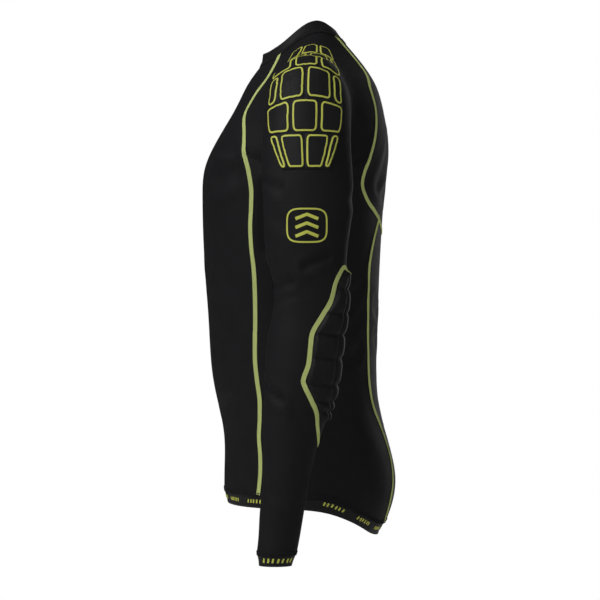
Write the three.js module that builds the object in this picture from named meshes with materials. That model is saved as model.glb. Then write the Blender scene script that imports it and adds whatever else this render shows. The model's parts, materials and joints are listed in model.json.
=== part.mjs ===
// Padded long-sleeve compression shirt, hollow, in the shape it takes when it is worn.
// Millimetres, +Z up. The front faces -Y and the wearer's left arm hangs on the +X side.
// The origin is the middle of the neck opening, level with the top of the shoulders.

import * as THREE from "three";

// Driving sizes
const WALL = 2.0;
const BAND_WALL = 2.6;
const SEAM_GAP = 0.3;
const NECKBAND_HEIGHT = 15;
const HEM_HEIGHT = 17.5;
const CUFF_HEIGHT = 16;
const ARM_RING_Z = -230;
const SLEEVE_END_Z = -672;
const NECK_AXIS_Y = 3;
const WEB_LIFT = 8;
const WEB_END_LIFT = 2;

// Pads: how far the sheet lies off the sleeve, how thick it is, how far the cells stand up
const PAD_CLEARANCE = 2.1;
const PAD_SHEET = 1.2;
const SHOULDER_CELL_RISE = 2.6;
const FOREARM_CELL_RISE = 4.6;
const GROOVE = 3;

// How many steps each seam is divided into; neighbours share the same steps
const STEPS = {
  raglan: 6,
  neckSide: 5,
  neckMiddle: 12,
  underarm: 6,
  armpitToYoke: 2,
  yokeSide: 3,
  yokeMiddle: 6,
  lowerBack: 13,
  frontSide: 18,
  cap: 12,
  arm: 21,
};

// Trunk sections from the neck to the tail
const TRUNK = [
  { z: 60, front: -36, back: 34, half: 55, square: 2.0 },
  { z: 25, front: -45, back: 40, half: 59, square: 2.0 },
  { z: 10, front: -48, back: 47, half: 61, square: 2.0 },
  { z: -5, front: -51, back: 57, half: 64, square: 2.0 },
  { z: -20, front: -53, back: 70, half: 70, square: 2.0 },
  { z: -35, front: -55, back: 84, half: 88, square: 2.1 },
  { z: -59, front: -73, back: 100, half: 130, square: 2.3 },
  { z: -80, front: -82.5, back: 106, half: 151, square: 2.5 },
  { z: -101, front: -92.5, back: 111, half: 160, square: 2.5 },
  { z: -127, front: -109.5, back: 115.5, half: 165, square: 2.4 },
  { z: -152, front: -123, back: 117.5, half: 167, square: 2.4 },
  { z: -182, front: -135, back: 115, half: 167, square: 2.35 },
  { z: -220, front: -135, back: 110, half: 166, square: 2.35 },
  { z: -310, front: -132, back: 105, half: 159, square: 2.3 },
  { z: -367, front: -127.5, back: 103, half: 153, square: 2.3 },
  { z: -443, front: -123, back: 100.5, half: 149, square: 2.3 },
  { z: -486, front: -115, back: 102, half: 152, square: 2.3 },
  { z: -512, front: -108.5, back: 107.5, half: 155, square: 2.3 },
  { z: -541, front: -104.5, back: 117, half: 159, square: 2.3 },
  { z: -571, front: -104.5, back: 124, half: 162, square: 2.3 },
  { z: -594, front: -107, back: 128, half: 164, square: 2.3 },
  { z: -621, front: -101, back: 124, half: 164, square: 2.3 },
  { z: -648, front: -96, back: 113, half: 162, square: 2.3 },
  { z: -658, front: -95, back: 104.5, half: 161, square: 2.3 },
  { z: -668, front: -94, back: 102, half: 160, square: 2.3 },
];

// Left arm sections from the middle of the shoulder cap to the end of the cuff
const ARM = [
  { z: -118, front: -51.5, back: 63, middle: 198, half: 53 },
  { z: -165, front: -53.5, back: 64, middle: 213.5, half: 48.5 },
  { z: -192, front: -51, back: 65.5, middle: 221, half: 46.5 },
  { z: -230, front: -50, back: 65.5, middle: 226, half: 45.5 },
  { z: -282, front: -48.5, back: 58.5, middle: 229.5, half: 42 },
  { z: -313, front: -42.5, back: 56.5, middle: 231, half: 40 },
  { z: -338, front: -35.8, back: 56.5, middle: 232, half: 38.5 },
  { z: -366, front: -37.5, back: 56, middle: 232.5, half: 38.5 },
  { z: -402, front: -46, back: 50, middle: 234, half: 40 },
  { z: -446, front: -48.5, back: 46, middle: 236, half: 41 },
  { z: -503, front: -50, back: 31, middle: 238, half: 36.5 },
  { z: -544, front: -50, back: 17.5, middle: 239.5, half: 32 },
  { z: -593, front: -51, back: 7.5, middle: 240.5, half: 28.5 },
  { z: -618, front: -54.5, back: 3, middle: 241, half: 27.5 },
  { z: -652, front: -55.5, back: -2.5, middle: 241, half: 27 },
  { z: -672, front: -58, back: -6.5, middle: 241, half: 27 },
  { z: -676, front: -56, back: -9, middle: 241, half: 25 },
  { z: -692, front: -55, back: -14, middle: 241, half: 22.5 },
];
const ARM_TOP_Z = -118;
// How softly the arm's column joins its cap
const CAP_JOINT_REACH = 4;

// The shoulder: a tapered bar from the neck to the joint, and the rounded cap of the upper arm
const SHOULDER_BAR = {
  inner: new THREE.Vector3(40, 19, -39),
  outer: new THREE.Vector3(172, 10, -84),
  innerRadius: 37,
  outerRadius: 41,
};
const SHOULDER_CAP = {
  middle: new THREE.Vector3(198, 5.75, -118),
  radii: new THREE.Vector3(53, 57.25, 74),
};

// How softly the forms run into one another, by height: wide on the shoulder, almost none below the armpit
const SOFTNESS = [
  { z: 60, reach: 34 },
  { z: -110, reach: 34 },
  { z: -170, reach: 8 },
  { z: -215, reach: 0.5 },
  { z: -700, reach: 0.5 },
];

// Largest folds of the worn cloth, each a soft trough between two points
const FOLDS = [
  { from: [132, -84, -158], to: [70, -122, -153], depth: 3.5, width: 10 },
  { from: [252, -44, -186], to: [262, -20, -200], depth: 2.0, width: 9 },
  { from: [222, -40, -338], to: [262, -14, -330], depth: 3.0, width: 9 },
  { from: [270, 10, -300], to: [258, 40, -292], depth: 2.0, width: 8 },
  { from: [232, -50, -465], to: [262, -28, -478], depth: 1.6, width: 9 },
];

// Neck seam and hem seam heights, and the seams as they lie in the side view
const NECKLINE = [
  { turn: 0, z: -35 },
  { turn: 30, z: -34.5 },
  { turn: 63, z: -24 },
  { turn: 90, z: 1.5 },
  { turn: 106, z: 7.5 },
  { turn: 120, z: 6.5 },
  { turn: 134, z: 1.5 },
  { turn: 158, z: -3.5 },
  { turn: 180, z: -5 },
];
const FRONT_SEAM_TURN = 63;
const BACK_SEAM_TURN = 134;

const HEMLINE = [
  { y: -130, z: -604.5 },
  { y: 0, z: -605.5 },
  { y: 45, z: -610 },
  { y: 66, z: -618.5 },
  { y: 80, z: -630 },
  { y: 98, z: -642 },
  { y: 116, z: -648 },
];

const FRONT_RAGLAN = [
  { y: -41, z: -50 },
  { y: -52, z: -68 },
  { y: -63, z: -83 },
  { y: -73, z: -99 },
  { y: -76, z: -131 },
  { y: -75, z: -158 },
];
const FRONT_SIDE = [
  { y: -75, z: -158 },
  { y: -66, z: -204 },
  { y: -67, z: -262 },
  { y: -62, z: -324 },
  { y: -61, z: -377 },
  { y: -61, z: -434 },
  { y: -55, z: -486 },
  { y: -56, z: -530 },
  { y: -54, z: -566 },
  { y: -57, z: -605 },
];
const BACK_RAGLAN = [
  { y: 76, z: -36 },
  { y: 86, z: -51 },
  { y: 93, z: -79 },
  { y: 99, z: -108 },
  { y: 98, z: -129 },
  { y: 89, z: -166 },
];
const ARMPIT_TO_YOKE = [
  { y: 89, z: -166 },
  { y: 81, z: -186 },
  { y: 79, z: -202 },
];
const UNDERARM = [
  { y: -75, z: -158 },
  { y: -48, z: -172 },
  { y: -20, z: -185 },
  { y: 8, z: -190 },
  { y: 38, z: -185 },
  { y: 66, z: -174 },
  { y: 89, z: -166 },
];
const LOWER_BACK = [
  { y: 102, z: -243 },
  { y: 98, z: -260 },
  { y: 91, z: -289 },
  { y: 88, z: -320 },
  { y: 87, z: -380 },
  { y: 88, z: -448 },
  { y: 93, z: -490 },
  { y: 105, z: -520 },
  { y: 118, z: -560 },
  { y: 122.5, z: -592 },
  { y: 119, z: -616 },
  { y: 109, z: -646 },
];
// The lower edge of the upper back, seen from behind, from its outer corner to the middle
const YOKE_SIDE = [
  { x: 128, z: -202 },
  { x: 114, z: -219 },
  { x: 94, z: -231 },
  { x: 66, z: -243 },
];
const YOKE_MIDDLE = [
  { x: 66, z: -243 },
  { x: 36, z: -255 },
  { x: 0, z: -260 },
];

// The shoulder pad follows the cap from the neck to the upper arm. Each row is a place along it:
// where a ray starts inside the shoulder, how steeply it rises, and how far the pad reaches either way.
const SHOULDER_PAD = [
  { along: 0, x: 100, z: -75, rise: 97, front: -10, back: 36 },
  { along: 75, x: 150, z: -95, rise: 78, front: -31, back: 46 },
  { along: 143, x: 185, z: -110, rise: 50, front: -41, back: 50 },
  { along: 192, x: 200, z: -125, rise: 22, front: -45, back: 52 },
  { along: 236, x: 212, z: -150, rise: 3, front: -41, back: 47 },
  { along: 273, x: 219, z: -186, rise: 0, front: -26, back: 34 },
];
const SHOULDER_ROWS = 6;
const SHOULDER_HALF_CELLS = 6;
const SHOULDER_WRAP = 50;

// The forearm pad is a leaf on the back of the arm: how far it spreads round the arm, by height
const FOREARM_PAD = [
  { z: -306, spread: 24 },
  { z: -314, spread: 35 },
  { z: -337, spread: 50 },
  { z: -368, spread: 67 },
  { z: -395, spread: 78 },
  { z: -450, spread: 85 },
  { z: -479, spread: 68 },
  { z: -505, spread: 46 },
  { z: -528, spread: 30 },
  { z: -537, spread: 18 },
];
const FOREARM_MIDDLE = 92;
const FOREARM_ROWS = [-306, -337, -368, -395, -425, -458, -479, -492, -505, -537];
const FOREARM_COLUMNS = [-1, -0.36, 0.36, 1];
const FOREARM_GROOVE = 0.07;

// A smooth curve through a table's rows that never overshoots them
function through(rows, along, key) {
  const at = rows.map((row) => row[along]);
  const value = rows.map((row) => row[key]);
  const slope = at.slice(1).map((here, i) => (value[i + 1] - value[i]) / (here - at[i]));
  const tangent = value.map((_, i) => {
    if (i === 0) return slope[0];
    if (i === slope.length) return slope[i - 1];
    const product = slope[i - 1] * slope[i];
    return product <= 0 ? 0 : (2 * product) / (slope[i - 1] + slope[i]);
  });
  const rising = at[at.length - 1] > at[0];
  return (where) => {
    let i = 0;
    while (i < slope.length - 1 && (rising ? where > at[i + 1] : where < at[i + 1])) i += 1;
    const span = at[i + 1] - at[i];
    const t = THREE.MathUtils.clamp((where - at[i]) / span, 0, 1);
    const t2 = t * t;
    const t3 = t2 * t;
    return (2 * t3 - 3 * t2 + 1) * value[i] + (t3 - 2 * t2 + t) * span * tangent[i]
      + (3 * t2 - 2 * t3) * value[i + 1] + (t3 - t2) * span * tangent[i + 1];
  };
}

function curves(rows, along, keys) {
  return Object.fromEntries(keys.map((key) => [key, through(rows, along, key)]));
}

function sections(rows) {
  const plain = rows.map((row) => ({ middle: 0, square: 2, ...row }));
  return curves(plain, "z", ["front", "back", "middle", "half", "square"]);
}

const trunk = sections(TRUNK);
const arm = sections(ARM);
const softness = through(SOFTNESS, "z", "reach");
const necklineZ = through(NECKLINE, "turn", "z");
const hemlineZ = through(HEMLINE, "y", "z");

// Roughly the distance from a point to a column of sections, below zero inside
function fromColumn(shape, x, y, z) {
  const front = shape.front(z);
  const back = shape.back(z);
  const across = x - shape.middle(z);
  const along = y - (front + back) / 2;
  const power = shape.square(z);
  const u = Math.abs(across) / shape.half(z);
  const v = Math.abs(along) / ((back - front) / 2);
  const scale = (u ** power + v ** power) ** (1 / power);
  const radius = scale > 0 ? Math.hypot(across, along) / scale : shape.half(z);
  return (scale - 1) * radius;
}

function fromBar(bar, x, y, z) {
  const axis = bar.outer.clone().sub(bar.inner);
  const point = new THREE.Vector3(x, y, z).sub(bar.inner);
  const t = THREE.MathUtils.clamp(point.dot(axis) / axis.lengthSq(), 0, 1);
  return point.addScaledVector(axis, -t).length() - THREE.MathUtils.lerp(bar.innerRadius, bar.outerRadius, t);
}

function fromCap(cap, x, y, z) {
  const offset = new THREE.Vector3(x, y, z).sub(cap.middle);
  const once = offset.clone().divide(cap.radii).length();
  const twice = offset.divide(cap.radii).divide(cap.radii).length();
  return twice === 0 ? -cap.radii.x : (once * (once - 1)) / twice;
}

function runTogether(a, b, reach) {
  const near = Math.max(reach - Math.abs(a - b), 0) / reach;
  return Math.min(a, b) - (near * near * reach) / 4;
}

function foldDepth(point) {
  let depth = 0;
  for (const fold of FOLDS) {
    const line = new THREE.Line3(new THREE.Vector3(...fold.from), new THREE.Vector3(...fold.to));
    const nearest = line.closestPointToPoint(point, true, new THREE.Vector3());
    depth += fold.depth * Math.exp(-nearest.distanceToSquared(point) / (fold.width * fold.width));
  }
  return depth;
}

// The outside of the cloth is where this is zero; it is larger outside and smaller inside
function cloth(point) {
  const x = Math.abs(point.x);
  const { y, z } = point;
  const reach = softness(z);
  const armColumn = Math.max(fromColumn(arm, x, y, z), z - ARM_TOP_Z);
  const limb = runTogether(armColumn, fromCap(SHOULDER_CAP, x, y, z), CAP_JOINT_REACH);
  const body = runTogether(fromColumn(trunk, x, y, z), fromBar(SHOULDER_BAR, x, y, z), reach);
  return runTogether(body, limb, reach) + foldDepth(new THREE.Vector3(x, y, z));
}

function outward(point) {
  const step = 0.5;
  const slope = (axis) => {
    const ahead = point.clone();
    const behind = point.clone();
    ahead[axis] += step;
    behind[axis] -= step;
    return (cloth(ahead) - cloth(behind)) / (2 * step);
  };
  return new THREE.Vector3(slope("x"), slope("y"), slope("z"));
}

// Move a point that is already near the cloth straight onto it
function settle(point) {
  const settled = point.clone();
  for (let round = 0; round < 8; round += 1) {
    const slope = outward(settled);
    settled.addScaledVector(slope, -cloth(settled) / Math.max(slope.lengthSq(), 0.05));
  }
  return settled;
}

// The first place where a straight line from a start point goes through the cloth
function meet(start, direction, longest = 330) {
  const step = 1;
  const inside = cloth(start) < 0;
  const ray = new THREE.Ray(start, direction.clone().normalize());
  const at = (distance) => ray.at(distance, new THREE.Vector3());
  let far = step;
  while (cloth(at(far)) < 0 === inside) {
    far += step;
    if (far > longest) throw new Error(`no cloth from ${start.toArray()} towards ${direction.toArray()}`);
  }
  let near = far - step;
  for (let round = 0; round < 24; round += 1) {
    const half = (near + far) / 2;
    if (cloth(at(half)) < 0 === inside) near = half;
    else far = half;
  }
  return at(near);
}

const BESIDE = 320;
const BEHIND = 220;
const fromSide = ({ y, z }) => meet(new THREE.Vector3(BESIDE, y, z), new THREE.Vector3(-1, 0, 0));
const fromMiddle = ({ y, z }) => meet(new THREE.Vector3(0, y, z), new THREE.Vector3(1, 0, 0));
const fromBehind = ({ x, z }) => meet(new THREE.Vector3(x, BEHIND, z), new THREE.Vector3(0, -1, 0));

function fromTrunkAxis(point) {
  const axisY = (trunk.front(point.z) + trunk.back(point.z)) / 2;
  const start = new THREE.Vector3(0, axisY, point.z);
  return meet(start, point.clone().sub(start));
}

const ARM_BONE = [
  [85, 15, -72], [180, 8, -96], [212, 6, -150], [222, 7, -195], [226, 8, -230],
].map((place) => new THREE.Vector3(...place));

function fromArmBone(point) {
  let nearest = ARM_BONE[0];
  for (let i = 1; i < ARM_BONE.length; i += 1) {
    const bone = new THREE.Line3(ARM_BONE[i - 1], ARM_BONE[i]);
    const candidate = bone.closestPointToPoint(point, true, new THREE.Vector3());
    if (candidate.distanceTo(point) < nearest.distanceTo(point)) nearest = candidate;
  }
  return meet(nearest, point.clone().sub(nearest));
}

// A seam: a smooth line through points on the cloth, in equal steps
function evenSteps(points, steps) {
  const line = new THREE.CatmullRomCurve3(points, false, "centripetal");
  return line.getSpacedPoints(steps).map(settle);
}

function drawn(rows, lay, steps, start = []) {
  const flat = rows.map(({ x = 0, y = 0, z }) => new THREE.Vector3(x, y, z));
  const line = new THREE.CatmullRomCurve3(flat, false, "centripetal");
  return evenSteps([...start, ...line.getSpacedPoints(rows.length * 3).map(lay)], steps);
}

function neckPoint(turn, above = 0) {
  const angle = THREE.MathUtils.degToRad(turn);
  const start = new THREE.Vector3(0, NECK_AXIS_Y, necklineZ(Math.abs(turn)) + above);
  return meet(start, new THREE.Vector3(Math.sin(angle), -Math.cos(angle), 0));
}

function neckTurns() {
  const spread = (from, to, count) => (
    Array.from({ length: count }, (_, i) => from + ((to - from) * i) / count)
  );
  return [
    ...spread(-FRONT_SEAM_TURN, FRONT_SEAM_TURN, STEPS.neckMiddle),
    ...spread(FRONT_SEAM_TURN, BACK_SEAM_TURN, STEPS.neckSide),
    ...spread(BACK_SEAM_TURN, 360 - BACK_SEAM_TURN, STEPS.neckMiddle),
    ...spread(360 - BACK_SEAM_TURN, 360 - FRONT_SEAM_TURN, STEPS.neckSide),
  ];
}

const wrapTurn = (turn) => (turn > 180 ? turn - 360 : turn);
const neckTurn = neckTurns().map(wrapTurn);
const neckSeam = neckTurn.map((turn) => neckPoint(turn));

// The point of the hem seam that lies the given way round from the trunk's axis
function hemPoint(direction) {
  let point = fromTrunkAxis(new THREE.Vector3(direction.x, direction.y, hemlineZ(direction.y)));
  for (let round = 0; round < 6; round += 1) {
    point = fromTrunkAxis(new THREE.Vector3(point.x, point.y, hemlineZ(point.y)));
  }
  return point;
}

// Seams of the left side
const frontTop = neckSeam[STEPS.neckMiddle];
const backTop = neckSeam[STEPS.neckMiddle + STEPS.neckSide];
const frontRaglan = drawn(FRONT_RAGLAN, fromSide, STEPS.raglan, [frontTop]);
const frontSide = drawn(FRONT_SIDE, fromSide, STEPS.frontSide);
const backRaglan = drawn(BACK_RAGLAN, fromSide, STEPS.raglan, [backTop]);
const armpitToYoke = drawn(ARMPIT_TO_YOKE, fromSide, STEPS.armpitToYoke);
const yokeSide = drawn(YOKE_SIDE, fromBehind, STEPS.yokeSide);
const lowerBack = drawn(LOWER_BACK, fromSide, STEPS.lowerBack);

function yokeMiddleLine() {
  const half = drawn(YOKE_MIDDLE, fromBehind, STEPS.yokeMiddle / 2);
  return [...half, ...half.slice(0, -1).reverse().map(mirrored)];
}

function mirrored(point) {
  return new THREE.Vector3(-point.x, point.y, point.z);
}

// A grid of points on the cloth between four seams, laid onto it by a rule that leaves the seams alone
function between(top, bottom, left, right, lay) {
  const rows = left.length - 1;
  const columns = top.length - 1;
  return left.map((_, i) => top.map((__, j) => {
    if (i === 0) return top[j];
    if (i === rows) return bottom[j];
    if (j === 0) return left[i];
    if (j === columns) return right[i];
    const u = j / columns;
    const v = i / rows;
    const across = left[i].clone().lerp(right[i], u);
    const down = top[j].clone().lerp(bottom[j], v);
    const upper = top[0].clone().lerp(top[columns], u);
    const corners = upper.lerp(bottom[0].clone().lerp(bottom[columns], u), v);
    return lay(across.add(down).sub(corners));
  }));
}

function hemLine(left, right, steps) {
  const line = [left];
  for (let j = 1; j < steps; j += 1) line.push(hemPoint(left.clone().lerp(right, j / steps)));
  return [...line, right];
}

// How far each point of an open edge moves in, so that neighbours stay a seam's gap apart
function drawIn(edge, normals) {
  const count = edge.length;
  const sides = edge.map((point, k) => {
    const next = edge[(k + 1) % count].clone().sub(point);
    return normals[k].clone().cross(next).normalize();
  });
  return edge.map((_, k) => {
    const before = sides[(k - 1 + count) % count];
    const after = sides[k];
    const sum = before.clone().add(after);
    return sum.multiplyScalar(SEAM_GAP / 2 / (1 + before.dot(after)));
  });
}

const RIM_ORDER = new THREE.Vector3(0.1, 0.3, 1);

// A closed wall from a grid of points: outer skin, inner skin, and the rims between them
function wallFrom(grid, { thick = WALL, tube = false } = {}) {
  const rows = grid.length - 1;
  const columns = tube ? grid[0].length : grid[0].length - 1;
  const across = tube ? columns : columns + 1;
  const index = (i, j) => i * across + (tube ? j % columns : j);
  const points = grid.flat();
  const onEdge = (i, j) => i === 0 || i === rows || (!tube && (j === 0 || j === columns));
  const ahead = (i, j) => {
    const right = tube ? (j + 1) % columns : j + 1;
    const left = tube ? (j - 1 + columns) % columns : j - 1;
    const along = grid[i][right].clone().sub(grid[i][left]);
    return along.cross(grid[i + 1][j].clone().sub(grid[i - 1][j])).normalize();
  };
  // Open edges lean as the cloth does, the same for both neighbours; inside, the grid gives its own lean
  const normals = grid.flatMap((line, i) => line.map((point, j) => {
    const lean = outward(point).normalize();
    if (onEdge(i, j)) return lean;
    const own = ahead(i, j);
    return own.multiplyScalar(Math.sign(own.dot(lean)) || 1);
  }));
  const first = points[index(0, 1)].clone().sub(points[0]).cross(points[index(1, 0)].clone().sub(points[0]));
  const facing = first.dot(normals[0]) > 0;

  const run = (length, at) => Array.from({ length }, (_, k) => at(k));
  const loops = tube
    ? [run(columns, (j) => index(0, j)), run(columns, (j) => index(rows, columns - j))]
    : [[
      ...run(columns, (j) => index(0, j)),
      ...run(rows, (i) => index(i, columns)),
      ...run(columns, (j) => index(rows, columns - j)),
      ...run(rows, (i) => index(rows - i, 0)),
    ]];
  if (!facing) loops.forEach((loop) => loop.reverse());

  const moved = points.map((point) => point.clone());
  for (const loop of loops) {
    const inset = drawIn(loop.map((k) => points[k]), loop.map((k) => normals[k]));
    loop.forEach((k, place) => moved[k].add(inset[place]));
  }
  const outer = moved;
  const inner = moved.map((point, k) => point.clone().addScaledVector(normals[k], -thick));
  const faces = [];
  const add = (a, b, c) => faces.push(a, b, c);
  const under = points.length;
  for (let i = 0; i < rows; i += 1) {
    for (let j = 0; j < columns; j += 1) {
      const square = [index(i, j), index(i, j + 1), index(i + 1, j + 1), index(i + 1, j)];
      if (!facing) square.reverse();
      const [a, b, c, d] = square;
      const straight = outer[a].distanceTo(outer[c]) <= outer[b].distanceTo(outer[d]);
      const halves = straight ? [[a, b, c], [a, c, d]] : [[a, b, d], [b, c, d]];
      for (const [p, q, r] of halves) {
        add(p, q, r);
        add(under + r, under + q, under + p);
      }
    }
  }
  // Both neighbours of a seam split the faces of their rims the same way, so that these never cross
  const order = (k) => points[k].dot(RIM_ORDER);
  for (const loop of loops) {
    loop.forEach((here, place) => {
      const next = loop[(place + 1) % loop.length];
      if (order(next) > order(here)) {
        add(next, here, under + here);
        add(next, under + here, under + next);
      } else {
        add(next, here, under + next);
        add(here, under + here, under + next);
      }
    });
  }
  return solid([...outer, ...inner], faces);
}

function solid(points, faces) {
  const geometry = new THREE.BufferGeometry();
  geometry.setAttribute("position", new THREE.Float32BufferAttribute(points.flatMap((p) => p.toArray()), 3));
  geometry.setIndex(faces);
  geometry.computeVertexNormals();
  return geometry;
}

// The same piece for the other side of the body
function otherSide(geometry) {
  const copy = geometry.clone();
  copy.scale(-1, 1, 1);
  const index = copy.getIndex();
  for (let k = 0; k < index.count; k += 3) {
    const kept = index.getX(k);
    index.setX(k, index.getX(k + 1));
    index.setX(k + 1, kept);
  }
  copy.computeVertexNormals();
  return copy;
}

// Front, backs and sides
const neckFront = neckSeam.slice(0, STEPS.neckMiddle + 1);
const neckBack = neckSeam.slice(STEPS.neckMiddle + STEPS.neckSide, 2 * STEPS.neckMiddle + STEPS.neckSide + 1);
const frontEdge = [...frontRaglan, ...frontSide.slice(1)];
frontEdge[0] = frontTop;
frontEdge[frontEdge.length - 1] = hemPoint(frontSide[STEPS.frontSide]);
backRaglan[0] = backTop;
const armpitFront = frontEdge[STEPS.raglan];
const armpitBack = backRaglan[STEPS.raglan];
armpitToYoke[0] = armpitBack;
yokeSide[0] = armpitToYoke[STEPS.armpitToYoke];
const yokeMiddle = yokeMiddleLine();
yokeMiddle[0] = yokeSide[STEPS.yokeSide];
yokeMiddle[STEPS.yokeMiddle] = mirrored(yokeMiddle[0]);
lowerBack[0] = yokeMiddle[0];
lowerBack[STEPS.lowerBack] = hemPoint(lowerBack[STEPS.lowerBack]);
const underarm = drawn(UNDERARM, fromMiddle, STEPS.underarm);
underarm[0] = armpitFront;
underarm[STEPS.underarm] = armpitBack;

const hemCornerFront = frontEdge[frontEdge.length - 1];
const hemCornerBack = lowerBack[STEPS.lowerBack];
const hemFront = hemLine(mirrored(hemCornerFront), hemCornerFront, STEPS.neckMiddle);
const hemSide = hemLine(hemCornerFront, hemCornerBack, STEPS.underarm);
const hemBack = hemLine(hemCornerBack, mirrored(hemCornerBack), STEPS.yokeMiddle);

const frontGrid = between(neckFront, hemFront, frontEdge.map(mirrored), frontEdge, fromTrunkAxis);

const sideBackEdge = [...armpitToYoke, ...yokeSide.slice(1), ...lowerBack.slice(1)];
const sideFrontEdge = frontEdge.slice(STEPS.raglan);
const sideGrid = between(underarm, hemSide, sideFrontEdge, sideBackEdge, fromTrunkAxis);

const upperBackEdge = [...backRaglan, ...armpitToYoke.slice(1)];
const yokeLine = [...yokeSide, ...yokeMiddle.slice(1), ...yokeSide.slice(0, -1).reverse().map(mirrored)];
const upperBackGrid = between(neckBack, yokeLine, upperBackEdge, upperBackEdge.map(mirrored), fromTrunkAxis);
const lowerBackGrid = between(yokeMiddle, hemBack, lowerBack, lowerBack.map(mirrored), fromTrunkAxis);

// The sleeve: from the loop of its upper seams to a ring round the arm, then down to the cuff
const sleeveLoop = [
  ...frontEdge.slice(0, STEPS.raglan),
  ...underarm.slice(0, STEPS.underarm),
  ...backRaglan.slice(1).reverse(),
  ...neckSeam.slice(STEPS.neckMiddle + 1, STEPS.neckMiddle + STEPS.neckSide + 1).reverse(),
];
const SLEEVE_COLUMNS = sleeveLoop.length;
const OUTER_COLUMN = SLEEVE_COLUMNS - STEPS.neckSide / 2;

// The point of the arm's column in a given column of the sleeve and at a given height
function onArm(column, z) {
  const turn = (-2 * Math.PI * (column - OUTER_COLUMN)) / SLEEVE_COLUMNS;
  const middleY = (arm.front(z) + arm.back(z)) / 2;
  const halfY = (arm.back(z) - arm.front(z)) / 2;
  return new THREE.Vector3(arm.middle(z) + arm.half(z) * Math.cos(turn), middleY + halfY * Math.sin(turn), z);
}

// Over the shoulder the straight line from the neck to the arm cuts inside the cap, so it is bowed out:
// by this much, out and up, for each millimetre that it is longer than the shortest line that needs it
const CAP_BULGE = new THREE.Vector3(0.3, 0, 0.26);
const CAP_BULGE_FROM = 90;
function capBulge(start, end) {
  const reach = start.distanceTo(end);
  return CAP_BULGE.clone().multiplyScalar(Math.max(reach - CAP_BULGE_FROM, 0));
}

function capRow(t) {
  return sleeveLoop.map((start, column) => {
    if (t === 0) return start;
    const end = onArm(column, ARM_RING_Z);
    const guide = start.clone().lerp(end, t);
    if (t === 1) return settle(end);
    return fromArmBone(guide.addScaledVector(capBulge(start, end), 4 * t * (1 - t)));
  });
}

function armRow(z) {
  return Array.from({ length: SLEEVE_COLUMNS }, (_, column) => settle(onArm(column, z)));
}

const steps = (count) => Array.from({ length: count + 1 }, (_, k) => k / count);
const capRows = steps(STEPS.cap).map(capRow);

// Under the arm the cloth is drawn across the top of the gap beside the trunk
const firstUnder = STEPS.raglan;
for (let column = firstUnder; column <= firstUnder + STEPS.underarm; column += 1) {
  const atEnd = column === firstUnder || column === firstUnder + STEPS.underarm;
  const lift = atEnd ? WEB_END_LIFT : WEB_LIFT;
  capRows[1][column] = capRows[0][column].clone().lerp(capRows[2][column], 0.5);
  capRows[1][column].z += lift;
}

const sleeveGrid = [
  ...capRows,
  ...steps(STEPS.arm).slice(1).map((t) => armRow(THREE.MathUtils.lerp(ARM_RING_Z, SLEEVE_END_Z, t))),
];

// Bands: the neckband stands on the neck seam, the hem band and the cuffs hang below theirs
const neckbandGrid = [
  neckTurn.map((turn) => neckPoint(turn, NECKBAND_HEIGHT)),
  neckTurn.map((turn) => neckPoint(turn, NECKBAND_HEIGHT / 2)),
  neckSeam,
];
const hemTop = [
  ...hemFront.slice(0, -1),
  ...hemSide.slice(0, -1),
  ...hemBack.slice(0, -1),
  ...hemSide.slice(1).reverse().map(mirrored),
];
const below = (point, drop) => fromTrunkAxis(new THREE.Vector3(point.x, point.y, point.z - drop));
const hemGrid = [hemTop, ...[0.5, 1].map((part) => hemTop.map((point) => below(point, HEM_HEIGHT * part)))];
const cuffGrid = [0, 0.5, 1].map((part) => armRow(SLEEVE_END_Z - CUFF_HEIGHT * part));

// The lines of a quilted sheet: a groove at each bound, and the raised cell between two grooves
function cellLines(bounds, groove, parts) {
  return bounds.flatMap((at, bound) => {
    if (bound === bounds.length - 1) return [{ at, bound, raised: false, plain: true }];
    const start = at + groove;
    const span = bounds[bound + 1] - groove - start;
    const raised = Array.from({ length: parts + 1 }, (_, k) => (
      { at: start + (span * k) / parts, bound, raised: true, plain: k > 0 && k < parts }
    ));
    return [{ at, bound, raised: false, plain: true }, ...raised];
  });
}

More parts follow.
